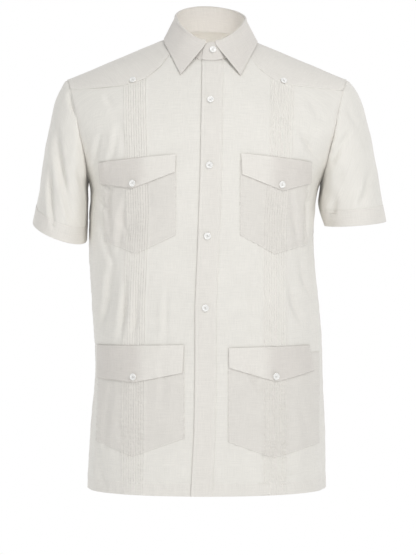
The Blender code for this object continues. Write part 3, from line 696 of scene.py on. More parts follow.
def hemmed_cloth(name, points, normals, rows, thick, ply_shade):
    """A shell whose lowest of these rows is folded round the hem and up inside it."""
    fold = hem_rows(points[:rows], normals)
    cloth(
        name,
        np.vstack([fold, points]),
        np.vstack([np.repeat(normals[:1], len(fold), 0), normals]),
        thick,
        finish("shirting"),
        # The rows round the hem's fold take the full painted shade of doubled cloth.
        np.vstack([np.ones((len(fold), points.shape[1])), ply_shade]),
    )


def stitch(points, normals):
    stitch_lines.append((points, normals))


def stitch_round(points, normals, first, left, right, foot):
    """Stitching down the left column from the first row, along the foot row and up the right column."""
    path = [(row, left) for row in range(first, foot)] + [(foot, place) for place in range(left, right + 1)]
    path += [(row, right) for row in range(foot - 1, first - 1, -1)]
    picked = tuple(np.array(path).T)
    stitch(points[picked], normals[picked])


def stitch_patch(points, normals, aside, first):
    """Stitching round a pocket or flap, EDGE_STITCH in from its sides and foot."""
    left = nearest(aside[3, :10], EDGE_STITCH)
    right = points.shape[1] - 1 - nearest(aside[3, ::-1][:10], EDGE_STITCH)
    stitch_round(points, normals, first, left, right, len(points) - 2 - EDGE_STEPS.index(EDGE_STITCH))


def build_front(side, name):
    u, run, seam_column = front_grid(side)
    rows = run.shape[0]
    ext = np.where(np.arange(u.shape[1]) <= seam_column, 1.5 * MM, 6 * MM)
    u = np.vstack([u, u[-1:], u[-1:]])
    run = np.vstack([run, run[-1:] + 0.2 * ext, run[-1:] + ext])
    base, normals = trunk(u, run), outward(u, run)
    x, z = base[..., 0], base[..., 2]
    from_top = lengths(base[rows - 1 :: -1], 0)[::-1]
    from_top = np.vstack([from_top, np.zeros((2, u.shape[1]))])
    height = trunk_relief(base, u, front=True) + puckers(x, z, side)
    caught = 0.35 + 0.65 * ease(from_top, 1 * MM, 9 * MM)
    up = lengths(base, 0)
    pressed = 0.45 + 0.55 * ease(np.abs(up - 0.5 * HEM_DEPTH), 0.4 * HEM_DEPTH, 0.6 * HEM_DEPTH)
    height = height + tuck_height(x, z, side) * caught * pressed
    hem = up - HEM_DEPTH
    across = lengths(base, 1)
    height += hem_relief(up, across, 0.50 * MM, (20 + side, 24 + side))
    from_side = across[:, -1:] - across
    below = ease(-z, -PIT_Z - 0.01, -PIT_Z + 0.005)
    height -= 0.35 * MM * bell(from_side, 1.2 * MM) * below
    height -= 0.20 * MM * bell(from_side - SEAM_STITCH, 0.9 * MM)
    height += 0.30 * MM * (1 - ease(from_side, SEAM_STITCH, 8.5 * MM)) * (1 - below)
    height -= 0.45 * MM * np.clip(1 - from_side / (1.6 * MM), 0, 1) ** 2 * (1 - below)
    height += seam_pucker(up, from_side, 0.45 * MM, 11 * MM, 31 + side)
    if side > 0:
        height += PLY * (1 - ease(x - free_edge(z), PLACKET, OVERLAP_EASE))
    else:
        height += edge_relief(across, drop=0.2 * MM)
    height[rows] -= 0.35 * MM
    height[rows + 1] -= 1.0 * MM
    height += 0.22 * MM * wander(across, 11 * MM, 40 + side) * np.exp(-from_top / (7 * MM)) * (from_top > 0)
    points = base + normals * height[..., None]
    # Painted shade: the colour darkens over the hem's fold, over the seam allowance within about 7 mm of the
    # side seam, and over the tuck band.
    ply_shade = 0.6 * (1 - ease(hem, -0.5 * MM, 0.5 * MM))
    ply_shade = np.maximum(ply_shade, 0.8 * ease(-from_side, -7.5 * MM, -6.5 * MM))
    tucked = side * (x - band_line[side](z)) / (TUCK_BAND / 2)
    ply_shade = np.maximum(ply_shade, 0.45 * (np.abs(tucked) < 1))
    hemmed_cloth(name, points, normals, rows, THIN, ply_shade)
    hem_row = nearest(up[:rows, 0], HEM_DEPTH)
    side_column = nearest(from_side[0], SEAM_STITCH)
    stitch(points[hem_row], normals[hem_row])
    stitch(points[:rows, side_column], normals[:rows, side_column])
    return u[rows - 1, seam_column:], run[rows - 1, seam_column:]


def build_placket():
    """The band down the left front's edge, folded at both sides and stitched along both."""
    steps = EDGE_STEPS + (PLACKET_STITCH, 5 * MM)
    across = ruler(PLACKET, STEP, start=steps, end=steps)
    lines = [offset(free_edge, out) for out in across]
    levels = HEM_Z + ruler(PLACKET_LEVEL - HEM_Z, STEP, start=(0.5 * MM, 1.5 * MM)) + FRONT_RUN
    run = climb(levels, np.linspace(0, 1, 9)[1:], top_of(lines, 1))
    u = u_along(lines, run)
    base, normals = trunk(u, run), outward(u, run)
    up = lengths(base, 0)
    across = np.broadcast_to(across, up.shape)
    edge = np.minimum(across, PLACKET - across)
    height = trunk_relief(base, u, front=True) + PLY + 0.80 * MM
    height += edge_relief(edge, groove=PLACKET_STITCH, drop=0.45 * MM)
    height += seam_pucker(up, edge, 0.22 * MM, 14 * MM, 51)
    height += 0.18 * MM * wander(up, 60 * MM, 52) * wander(across, 30 * MM, 53)
    points = base + normals * height[..., None]
    hemmed_cloth("placket", points, normals, len(points), DOUBLE, np.ones(points.shape[:2]))
    for place in (nearest(across[0], PLACKET_STITCH), nearest(across[0], PLACKET - PLACKET_STITCH)):
        stitch(points[:, place], normals[:, place])


def build_back():
    half = ruler(1.0, 0.0115, end=(0.002, 0.005, 0.010, 0.030))
    u = np.r_[-half[::-1], half[1:]]
    run = climb(BACK_RUN - level_rows(), UPPER_SHARES, run_of_back_seam(u))
    rows = len(run)
    run = np.vstack([run, run[-1:] - 1.2 * MM, run[-1:] - 6 * MM])
    u = np.broadcast_to(u, run.shape)
    base, normals = trunk(u, run), outward(u, run)
    z = base[..., 2]
    up, across = lengths(base, 0), lengths(base, 1)
    from_side = np.minimum(across, across[:, -1:] - across)
    hem = up - HEM_DEPTH
    height = trunk_relief(base, u, front=False)
    height += hem_relief(up, across, 0.30 * MM, (61, 62))
    below = ease(-z, -PIT_Z - 0.01, -PIT_Z + 0.005)
    height -= 0.35 * MM * bell(from_side, 1.2 * MM) * below
    height += 0.30 * MM * (1 - ease(from_side, SEAM_STITCH, 8.5 * MM)) * (1 - below)
    height += seam_pucker(up, from_side, 0.45 * MM, 11 * MM, 63)
    from_top = np.abs(up[rows - 1] - up)
    height += 0.25 * MM * wander(across, 11 * MM, 64) * np.exp(-from_top / (7 * MM))
    height[rows] -= 0.35 * MM
    height[rows + 1] -= 1.0 * MM
    points = base + normals * height[..., None]
    # Painted shade: the colour darkens over the hem's fold.
    ply_shade = 0.6 * (1 - ease(hem, -0.5 * MM, 0.5 * MM))
    hemmed_cloth("back", points, normals, rows, THIN, ply_shade)
    hem_row = nearest(up[:rows, 0], HEM_DEPTH)
    stitch(points[hem_row], normals[hem_row])


def build_yoke(seams):
    """One piece round the neck, folded and lapped over both fronts and the back."""
    angle_marks = [YOKE_ANGLE, math.pi / 2, NAPE_ANGLE]
    back_end = float(run_of_back_seam(np.array(1.0)))
    side_runs = np.r_[np.linspace(run_of_front_seam(), 0, 60), np.linspace(0, back_end, 40)[1:]]
    side_angles = np.interp(side_runs, [side_runs[0], 0, side_runs[-1]], angle_marks)
    back_u = np.linspace(1, -1, 121)[1:-1]
    back_angles = np.linspace(NAPE_ANGLE, 2 * math.pi - NAPE_ANGLE, 121)[1:-1]
    angles = np.r_[side_angles, back_angles, 2 * math.pi - side_angles[::-1]]
    outer_u = np.r_[np.ones(len(side_runs)), back_u, -np.ones(len(side_runs))]
    outer_run = np.r_[side_runs, run_of_back_seam(back_u), side_runs[::-1]]
    inner_x, inner_run = neckline(angles)
    inner_u = u_at(inner_x, inner_run)
    shares = ruler(1.0, 0.018, end=(0.003, 0.007, 0.014, 0.05))
    bends = []
    for seam_u, seam_run in seams:
        share = (seam_u - seam_u[0]) / (seam_u[-1] - seam_u[0])
        straight = seam_run[0] + share * (seam_run[-1] - seam_run[0])
        bends.append(np.interp(shares, share, seam_run - straight))
    place = np.arange(len(angles))
    front = 59  # the last place in front of the shoulder
    weights = [np.clip(1 - place / front, 0, 1), np.clip(1 - (place[-1] - place) / front, 0, 1)]
    u = inner_u[:, None] + shares * (outer_u - inner_u)[:, None]
    run = inner_run[:, None] + shares * (outer_run - inner_run)[:, None]
    run = run + weights[0][:, None] * bends[0] + weights[1][:, None] * bends[1]
    rough = trunk(u, run)
    along = lengths(rough, 0)
    total = along[-1]
    marks = ruler(1.0, 0.0085)
    fine = np.r_[0, EDGE_STEPS, 5 * MM, 6 * MM, 7 * MM, 8 * MM, 10 * MM]
    wanted = np.vstack([
        np.repeat(fine[:-1, None], len(shares), 1),
        fine[-1] + marks[:, None] * (total - 2 * fine[-1]),
        total - np.repeat(fine[-2::-1, None], len(shares), 1),
    ])
    spots = np.stack([np.interp(wanted[:, s], along[:, s], place) for s in range(len(shares))], -1)
    low = np.clip(spots.astype(int), 0, len(place) - 2)
    part = spots - low
    picked = np.arange(len(shares))
    u = u[low, picked] * (1 - part) + u[low + 1, picked] * part
    run = run[low, picked] * (1 - part) + run[low + 1, picked] * part
    base, normals = trunk(u, run), outward(u, run)
    along, across = lengths(base, 0), lengths(base, 1)
    ends = np.minimum(along, along[-1] - along)
    rim = across[:, -1:] - across
    at_front = run < 0
    height = np.where(at_front, trunk_relief(base, u, True), trunk_relief(base, u, False))
    height = height * ease(np.abs(run), 0, 0.03) + 0.35 * MM * billow(base, 0.06, 71, upright=1.0)
    armhole = ease(np.abs(u[:, -1:]), 0.995, 0.999)
    height += 0.55 * MM * (1 - ease(ends, 9 * MM, 16 * MM)) + edge_relief(ends, groove=EDGE_STITCH)
    height -= 0.22 * MM * bell(ends - SEAM_STITCH, 0.8 * MM)
    height += (1 - armhole) * (0.55 * MM * (1 - ease(rim, 6 * MM, 12 * MM)) + edge_relief(rim))
    height += armhole * 0.30 * MM * (1 - ease(rim, SEAM_STITCH, 8.5 * MM))
    height -= armhole * 0.2 * MM * bell(rim - SEAM_STITCH, MM)
    height += seam_pucker(across, ends, 0.28 * MM, 10 * MM, 72)
    points = base + normals * height[..., None]
    # Painted shade: the whole yoke takes its cloth's darker colour.
    cloth("yoke", points, normals, DOUBLE, finish("shirting"), 1.0)
    rows = len(points)
    for distance in (EDGE_STITCH, SEAM_STITCH):
        row = nearest(along[:, 0], distance)
        for spot in (row, rows - 1 - row):
            stitch(points[spot, 1:], normals[spot, 1:])
    column_at = nearest(shares, 0.986)
    on_back = np.flatnonzero(armhole[:, 0] < 0.5)
    stitch(points[on_back, column_at], normals[on_back, column_at])
    arm = nearest(shares, 0.963)
    on_arms = np.flatnonzero(armhole[:, 0] > 0.5)
    for run_rows in (on_arms[on_arms < rows / 2], on_arms[on_arms > rows / 2]):
        stitch(points[run_rows, arm], normals[run_rows, arm])


def around(angle, top, front_, under, back_):
    """A value round a sleeve that takes these four at its top, front, underside and back."""
    top, front_, under, back_ = (np.asarray(value, float) for value in (top, front_, under, back_))
    angle = np.asarray(angle)[..., None]
    return (
        (top + front_ + under + back_) / 4
        + (top - under) / 2 * np.cos(angle)
        + (top - front_ + under - back_) / 4 * np.cos(2 * angle)
        + (front_ - back_) / 2 * np.sin(angle)
    )


SLEEVE_COLUMNS = 168
SLEEVE_UNDER = ((0.978, 1.2), (0.990, 1.1), (0.9985, 0.95))  # u, how far under the trunk's outer face


def build_sleeve(side, name):
    pit_front, pit_back = PIT_Z + FRONT_RUN, BACK_RUN - PIT_Z
    over, under = np.linspace(0, pit_front, 200), np.linspace(pit_back, 0, 200)
    angle_of = []
    for runs in (over, under):
        length = path_length(trunk(np.full(200, float(side)), runs))
        angle_of.append(length / length[-1] * math.pi)
    angles = np.mod(np.linspace(0, 2 * math.pi, SLEEVE_COLUMNS + 1)[:-1] + math.pi, 2 * math.pi)
    runs = np.where(
        angles <= math.pi,
        np.interp(angles, angle_of[0], over),
        np.interp(angles - math.pi, angle_of[1], under),
    )
    start = trunk(np.full(runs.shape, float(side)), runs)
    mirror = np.array([side, 1, 1])
    hem = around(angles, *CUFF_EDGE[side])
    leave = around(angles, *SLEEVE_START) * mirror
    arrive = around(angles, *SLEEVE_END[side]) * mirror
    down = unit(arrive)
    end = hem - down * CUFF_DEPTH
    s = np.r_[0.002, 0.01, ruler(1.0, 0.0155)[1:]][:, None, None]
    body = start * (1 + 2 * s) * (1 - s) ** 2 + end * s * s * (3 - 2 * s)
    body += leave * s * (1 - s) ** 2 - arrive * s * s * (1 - s)
    tail = end + down * (5 * MM)
    body = np.vstack([body, tail[None]])
    normals = ring_normals(body)
    x, z = body[..., 0], body[..., 2]
    facing = ease(-normals[..., 1], -0.25, 0.25)
    rear = tuple(
        (x0 * 0.985, z0 + 12, x1 * 0.99, z1 - 6, -bow, half, depth * 0.8, bank)
        for x0, z0, x1, z1, bow, half, depth, bank in SLEEVE_CREASES[side]
    )
    height = facing * creases(x, z, SLEEVE_CREASES[side]) + (1 - facing) * creases(x, z, rear)
    share = np.r_[s[:, 0, 0], 1.02][:, None]
    quiet = ease(share, 0, 0.18) * (1 - 0.6 * ease(share, 0.9, 1))
    height = height * ease(share, 0, 0.05)
    height += quiet * (1.4 * MM * billow(body, 0.06, 81 + side) + 0.5 * MM * billow(body, 0.024, 84 + side))
    turn = angles * 0.06
    height += 0.35 * MM * wander(turn[None, :] * np.ones_like(share), 11 * MM, 86) * bell(share - 0.02, 0.05)
    from_seam = lengths(body, 0)
    height -= 1.0 * MM * bell(from_seam, 2.2 * MM)
    height[-1] -= 0.9 * MM
    height[-2] -= 0.25 * MM
    body = body + normals * height[..., None]
    tucked = []
    for at_u, inside in SLEEVE_UNDER:
        full = np.full(runs.shape, side * at_u)
        tucked.append(trunk(full, runs) - outward(full, runs) * inside * MM)
    points = np.vstack([np.array(tucked), body])
    normals = np.vstack([np.repeat(normals[:1], len(tucked), 0), normals])
    cloth("sleeve_" + name, points, normals, THIN, finish("shirting"), 0.0, ring=True)

    depth = ruler(CUFF_DEPTH, STEP, start=EDGE_STEPS, end=(0.5 * MM, 1.5 * MM))
    band = end + down * depth[:, None, None]
    normals = ring_normals(band)
    x, z = band[..., 0], band[..., 2]
    from_top = np.repeat(depth[:, None], SLEEVE_COLUMNS, 1)
    height = 0.55 * MM + edge_relief(from_top)
    facing = ease(-normals[..., 1], -0.25, 0.25)
    height += (1.0 - 0.35 * from_top / CUFF_DEPTH) * facing * creases(x, z, SLEEVE_CREASES[side])
    height += 0.4 * (1.0 * MM * billow(band, 0.06, 81 + side))
    height += 0.22 * MM * wander(angles[None] * 0.062 + 0 * from_top, 9 * MM, 88) * bell(from_top, 6 * MM)
    points = band + normals * height[..., None]
    inner = []
    for up, inside in ((-0.0002, 0.5), (0.0008, 1.1), (0.010, 1.25), (0.022, 1.25)):
        row = points[-1] - down * up - normals[-1] * inside * MM
        inner.append(row)
    points = np.vstack([points, np.array(inner)])
    normals = np.vstack([normals, np.repeat(normals[-1:], len(inner), 0)])
    cloth("cuff_" + name, points, normals, THIN, finish("shirting"), 1.0, ring=True)
    row = nearest(depth, EDGE_STITCH)
    closed = np.r_[np.arange(SLEEVE_COLUMNS), 0]
    stitch(points[row][closed], normals[row][closed])


def ring_value(angle, front_, side_, back_):
    """A value round the neck that takes these three at its front, both sides and back."""
    return (
        (front_ + 2 * side_ + back_) / 4
        + (front_ - back_) / 2 * np.cos(angle)
        + (front_ - 2 * side_ + back_) / 4 * np.cos(2 * angle)
    )


def stand_edges(angle, overlap):
    """The collar stand's lower and upper edges, and the level way out from the neck."""
    x, run = neckline(angle)
    u = u_at(x, run)
    away = np.stack([np.sin(angle), -np.cos(angle), 0 * angle], -1)
    low = trunk(u, run)
    low = low + outward(u, run) * (PLY * overlap)[..., None] + away * (0.4 * MM * overlap)[..., None]
    low[..., 2] += STAND_BASE * (1 + overlap)
    rise = ring_value(angle, *STAND_RISE)[..., None] * np.array([0, 0, 1])
    high = low + rise - away * ring_value(angle, *STAND_LEAN)[..., None]
    return low, high, away


def stand_overlap(angle):
    return np.clip((math.radians(60) - angle) / math.radians(25), 0, 1)


STAND_CORNER = 13 * MM
LEAF_STITCH = 5 * MM


def build_collar():
    edge_x = FREE_EDGE[-1][1] - NECK_X
    start = math.asin(edge_x / NECK_HALF)
    end = 2 * math.pi + math.asin((edge_x + UNDERLAP) / NECK_HALF)
    angle = start + ruler((end - start) * NECK_HALF, 2.5 * MM, start=EDGE_STEPS, end=EDGE_STEPS) / NECK_HALF
    low, high, away = stand_edges(angle, stand_overlap(angle))
    low[:, 2] -= 0.8 * MM
    low += away * (0.35 * MM)
    share = ruler(1.0, 0.09, start=(0.02, 0.05, 0.08), end=(0.015, 0.04))[:, None]
    ends = np.minimum(angle - angle[0], angle[-1] - angle) * NECK_HALF
    corner = np.clip(1 - ends / STAND_CORNER, 0, 1)
    top = 1 - (1 - np.sqrt(1 - corner**2)) * 0.62
    points = low + (high - low) * (share * top)[..., None]
    points = points + away * (0.6 * MM * 4 * share * (1 - share))[..., None]
    points += away * (0.35 * MM * wander(angle * NECK_HALF, 45 * MM, 91))[..., None]
    stand_out = np.broadcast_to(away, points.shape)
    height = edge_relief(np.broadcast_to(ends, points.shape[:2]))
    points = points + stand_out * height[..., None]
    cloth("collar_stand", points, stand_out, 1.0 * MM, finish("collar"), 1.0)
    row = nearest(share[:, 0], 0.08)
    stitch(points[row, 3:-3], stand_out[row, 3:-3])

    spread_at = ruler(1.0, 0.0068, start=(0.0012, 0.003, 0.006, 0.009), end=(0.0012, 0.003, 0.006, 0.009))
    angle = LEAF_OPENING + spread_at * (2 * math.pi - 2 * LEAF_OPENING)
    turned = np.minimum(angle, 2 * math.pi - angle)
    _, high, away = stand_edges(angle, stand_overlap(turned))
    rows = [high + away * out + np.array([0, 0, up]) for out, up in LEAF_ROLL]
    forward = np.clip((turned - LEAF_OPENING) / (math.pi / 2 - LEAF_OPENING), 0, 1)
    spread = LEAF_POINT[0] + (LEAF_SIDE - LEAF_POINT[0]) * np.sin(forward * math.pi / 2)
    behind = turned > math.pi / 2
    x = NECK_X + np.sign(np.sin(angle)) * np.where(behind, LEAF_SIDE * np.sin(turned), spread)
    run = np.where(behind, -LEAF_BACK_RUN * np.cos(turned), LEAF_POINT[1] * (1 - forward))
    u = u_at(x, run)
    edge = trunk(u, run) + outward(u, run) * LEAF_LIFT
    for fall in LEAF_FALL:
        rows.append(rows[3] + (edge - rows[3]) * fall + away * (LEAF_BULGE * 4 * fall * (1 - fall)))
    knots = np.array([0, 1, 2, 4, 8, 12, 16.0])
    at = np.r_[np.linspace(0, 4, 9), np.linspace(4, 16, 20)[1:], 15.2, 15.5, 15.8, 15.92]
    points = smooth(np.unique(at), knots, np.array(rows))
    normals = grid_normals(points)
    flip = np.sign(np.sum(normals[-6:] * away))
    normals = normals * flip
    down, across = lengths(points, 0), lengths(points, 1)
    rim = np.minimum(down[-1] - down, np.minimum(across, across[:, -1:] - across))
    height = edge_relief(rim, groove=LEAF_STITCH, drop=0.35 * MM)
    height += 0.5 * MM * billow(points, 0.05, 92) * ease(down, 4 * MM, 15 * MM)
    points = points + normals * height[..., None]
    cloth("collar_leaf", points, normals, 1.15 * MM, finish("collar"), 1.0)
    column_at = 3
    row = nearest(down[:, 0], down[-1, 0] - LEAF_STITCH)
    stitch_round(points, normals, 8, column_at, points.shape[1] - 1 - column_at, row)


def patch(lines, top, bottom, rows):
    """x and z of a grid between lines of x at z, from a top edge down to a bottom edge given as z at x."""
    z = np.full((len(rows), len(lines)), (top(0) + bottom(0)) / 2)
    for _ in range(8):
        x = evaluate(lines, z)
        upper, lower = top(x), bottom(x)
        z = upper + (lower - upper) * rows[:, None]
    return x, z


def corner_line(first, second):
    """x at z along the straight line through two corners."""
    (x0, z0), (x1, z1) = first, second
    return lambda z: x0 + (x1 - x0) * (z - z0) / (z1 - z0)


def edge_line(*corners):
    """z at x along straight lines through these corners."""
    corners = sorted(corners)
    return lambda x: np.interp(x, column(corners, 0), column(corners, 1))


def pocket_lines(side, left, right, tucked):
    tucks = tuck_lines(side)[:: side]
    if not tucked:
        tucks = tucks[:: len(TUCK_PHASES)]
    gaps = ruler(40 * MM, STEP, start=EDGE_STEPS + (5 * MM, 6.5 * MM)) / (40 * MM)
    lines = between(left, tucks[0], gaps)[:-1] + tucks
    return lines + between(tucks[-1], right, 1 - gaps[::-1])[1:]


def build_pocket(name, flap, bottom):
    side = 1 if name.endswith("left") else -1
    flap_left, flap_right = flap[0], flap[1]
    mouth_left = (bottom[2][0], flap_left[1] - POCKET_DROP)
    mouth_right = (bottom[0][0], flap_right[1] - POCKET_DROP)
    left, right = (
        corner_line(mouth, (low_x + 1e-6, low_z))
        for mouth, (low_x, low_z) in ((mouth_left, bottom[2]), (mouth_right, bottom[0]))
    )
    top, foot = edge_line(mouth_left, mouth_right), edge_line(*bottom)
    tall = abs(bottom[1][1] - mouth_left[1])
    rows = ruler(tall, 2.0 * MM, end=EDGE_STEPS) / tall
    x, z = patch(pocket_lines(side, left, right, True), top, foot, rows)
    points, normals = on_front(x, z, side)
    aside = np.minimum(x - left(z), right(z) - x)
    below = (z - foot(x)) * 0.9
    edge = np.minimum(aside, below)
    across, along = lengths(points, 1), lengths(points, 0)
    flap_foot = edge_line(flap[4], flap[3], flap[2])
    free = 1 - ease(z - flap_foot(x), -6 * MM, 1 * MM)
    height = 0.90 * MM + free * 0.40 * MM * ease(edge, 2 * MM, 20 * MM) + edge_relief(edge)
    height += seam_pucker(along, aside, 0.60 * MM, 9 * MM, 101 + len(name)) * free
    height += seam_pucker(across, below, 0.65 * MM, 8 * MM, 102 + len(name))
    height += 0.30 * MM * billow(points, 0.035, 103 + len(name)) * ease(edge, 2 * MM, 15 * MM) * free
    points = points + normals * height[..., None]
    # Painted shade: the pocket's colour is darkest within 8 mm of its edges and three quarters as dark over
    # the rest.
    cloth("pocket_" + name, points, normals, THIN, finish("pocket"), np.where(edge < 8 * MM, 1.0, 0.75))
    stitch_patch(points, normals, aside, 2)


FLAP_TOP = 2.25 * MM
FLAP_EDGE = 2.75 * MM


def build_flap(name, flap):
    side = 1 if name.endswith("left") else -1
    top_left, top_right, low_right, point, low_left = flap
    left, right = corner_line(top_left, low_left), corner_line(top_right, low_right)
    if abs(top_left[0] - low_left[0]) < 1e-9:
        left = corner_line(top_left, (low_left[0] + 1e-6, low_left[1]))
    top, foot = edge_line(top_left, top_right), edge_line(low_left, point, low_right)
    tall = abs(point[1] - top_left[1])
    rows = ruler(tall, 2.2 * MM, start=EDGE_STEPS, end=EDGE_STEPS) / tall
    x, z = patch(pocket_lines(side, left, right, False), top, foot, rows)
    points, normals = on_front(x, z, side, tucked=0.0)
    aside = np.minimum(x - left(z), right(z) - x)
    below, above = (z - foot(x)) * 0.93, top(x) - z
    edge = np.minimum(aside, below)
    share = above / (above + below + 1e-9)
    outer = ease(side * (x - band_line[side](z)), -24 * MM, 4 * MM)
    height = FLAP_TOP + (FLAP_EDGE - FLAP_TOP) * ease(share, 0.0, 1.0) + edge_relief(edge)
    height += edge_relief(above, drop=0.3 * MM, round_over=1.5 * MM)
    height += outer * 0.35 * MM * wander(x, 11 * MM, 111 + len(name)) * (1 - share)
    height += seam_pucker(x, above, 0.35 * MM, 9 * MM, 112 + len(name))
    height += seam_pucker(x, below, 0.25 * MM, 12 * MM, 113)
    points = points + normals * height[..., None]
    # Painted shade: the flap's outer half, towards the side seam, takes the darker flap colour and a little
    # past it, while the half by the placket keeps the lighter one.
    cloth("pocket_flap_" + name, points, normals, 0.6 * MM, finish("flap"), 1.15 * outer)
    stitch_patch(points, normals, aside, 3)
    stitch(points[3, 2:-2], normals[3, 2:-2])


# Thread

STITCH_PITCH = 2.7 * MM
STITCH_LENGTH = 2.1 * MM
THREAD = 0.26 * MM


def threads(name, spots, ways, normals, length, width, height, sink):
    """One mesh of short threads: each a flattened spindle along its way, its ends drawn into the cloth."""
    spots, ways, normals = np.asarray(spots), unit(np.asarray(ways)), unit(np.asarray(normals))
    aside = unit(np.cross(normals, ways))
    corners = (  # along, aside, up
        (-0.50, 0.0, -1.0),
        (-0.28, 1.0, -0.2), (-0.28, 0.0, 0.8), (-0.28, -1.0, -0.2),
        (0.28, 1.0, -0.2), (0.28, 0.0, 0.8), (0.28, -1.0, -0.2),
        (0.50, 0.0, -1.0),
    )
    faces = np.array([
        (0, 2, 1), (0, 3, 2), (0, 1, 3), (1, 2, 5), (1, 5, 4), (2, 3, 6),
        (2, 6, 5), (3, 1, 4), (3, 4, 6), (4, 5, 7), (5, 6, 7), (6, 4, 7),
    ])
    verts = np.concatenate([
        (spots + ways * a * length + aside * b * width + normals * (c * height - sink))[:, None]
        for a, b, c in corners
    ], 1)
    count = len(spots)
    all_faces = (faces[None] + (np.arange(count) * len(corners))[:, None, None]).reshape(-1, 3)
    data = bpy.data.meshes.new(name)
    data.from_pydata(verts.reshape(-1, 3).tolist(), [], all_faces.tolist())
    data.shade_smooth()
    data.materials.append(finish("thread"))
    add_piece(name, data, "shirting")


def along_path(at, along, values):
    return np.stack([np.interp(at, along, values[:, axis]) for axis in range(3)], -1)


def sew():
    """Threads along every stitch line."""
    spots, ways, ups = [], [], []
    for points, normals in stitch_lines:
        along = path_length(points)
        at = np.arange(STITCH_PITCH / 2, along[-1], STITCH_PITCH)
        spots.append(along_path(at, along, points))
        ways.append(along_path(at + 0.3 * MM, along, points) - along_path(at - 0.3 * MM, along, points))
        ups.append(along_path(at, along, normals))
    laid = (np.vstack(rows) for rows in (spots, ways, ups))
    threads("stitching", *laid, STITCH_LENGTH, THREAD, 0.18 * MM, 0.02 * MM)


# Buttons

BUTTON_PROFILE = (  # out, up, in mm: from the recessed middle over the rim to the back
    (0.0, 1.35), (2.6, 1.35), (3.1, 1.45), (3.6, 1.95), (4.1, 2.2), (4.7, 2.25), (5.3, 2.05),
    (5.68, 1.60), (5.75, 1.20), (5.55, 0.55), (5.0, 0.15), (4.2, 0.0), (0.0, 0.0),
)
HOLE_OUT = 1.15 * MM
HOLE_RADIUS = 0.62 * MM


def button_mesh():
    shape = bmesh.new()
    verts = [shape.verts.new((out * MM, 0, up * MM)) for out, up in BUTTON_PROFILE]
    for first, second in zip(verts, verts[1:]):
        shape.edges.new((first, second))
    bmesh.ops.spin(
        shape, geom=shape.verts[:] + shape.edges[:], axis=(0, 0, 1), cent=(0, 0, 0),
        angle=2 * math.pi, steps=40, use_merge=True,
    )
    bmesh.ops.remove_doubles(shape, verts=shape.verts[:], dist=0.000004)
    bmesh.ops.recalc_face_normals(shape, faces=shape.faces[:])
    data = bpy.data.meshes.new("button_blank")
    shape.to_mesh(data)
    shape.free()
    holes = bmesh.new()
    for turn in range(4):
        angle = math.pi / 4 + turn * math.pi / 2
        spot = Matrix.Translation((HOLE_OUT * math.cos(angle), HOLE_OUT * math.sin(angle), MM))
        bmesh.ops.create_cone(
            holes, cap_ends=True, segments=14, radius1=HOLE_RADIUS, radius2=HOLE_RADIUS,
            depth=4 * MM, matrix=spot,
        )
    cut_data = bpy.data.meshes.new("button_holes")
    holes.to_mesh(cut_data)
    holes.free()
    blank, cutter = add_object("blank", data), add_object("cutter", cut_data)
    drill = blank.modifiers.new("Holes", "BOOLEAN")
    drill.operation, drill.object, drill.solver = "DIFFERENCE", cutter, "EXACT"
    bpy.context.view_layer.update()
    drilled = bpy.data.meshes.new_from_object(blank.evaluated_get(bpy.context.evaluated_depsgraph_get()))
    for thing in (blank, cutter):
        bpy.data.objects.remove(thing)
    drilled.shade_smooth()
    drilled.set_sharp_from_angle(angle=math.radians(40))
    drilled.materials.clear()
    drilled.materials.append(finish("button"))
    return drilled


BUTTON_HOSTS = {
    "button_front_1": "collar_stand",
    "button_front_2": "placket",
    "button_front_3": "placket",
    "button_front_4": "placket",
    "button_front_5": "placket",
    "button_yoke_left": "yoke",
    "button_yoke_right": "yoke",
    "button_flap_upper_left": "pocket_flap_upper_left",
    "button_flap_upper_right": "pocket_flap_upper_right",
    "button_flap_lower_left": "pocket_flap_lower_left",
    "button_flap_lower_right": "pocket_flap_lower_right",
}
BUTTONHOLE = 14 * MM
SEWN = 0.5 * MM  # the button's back from the cloth


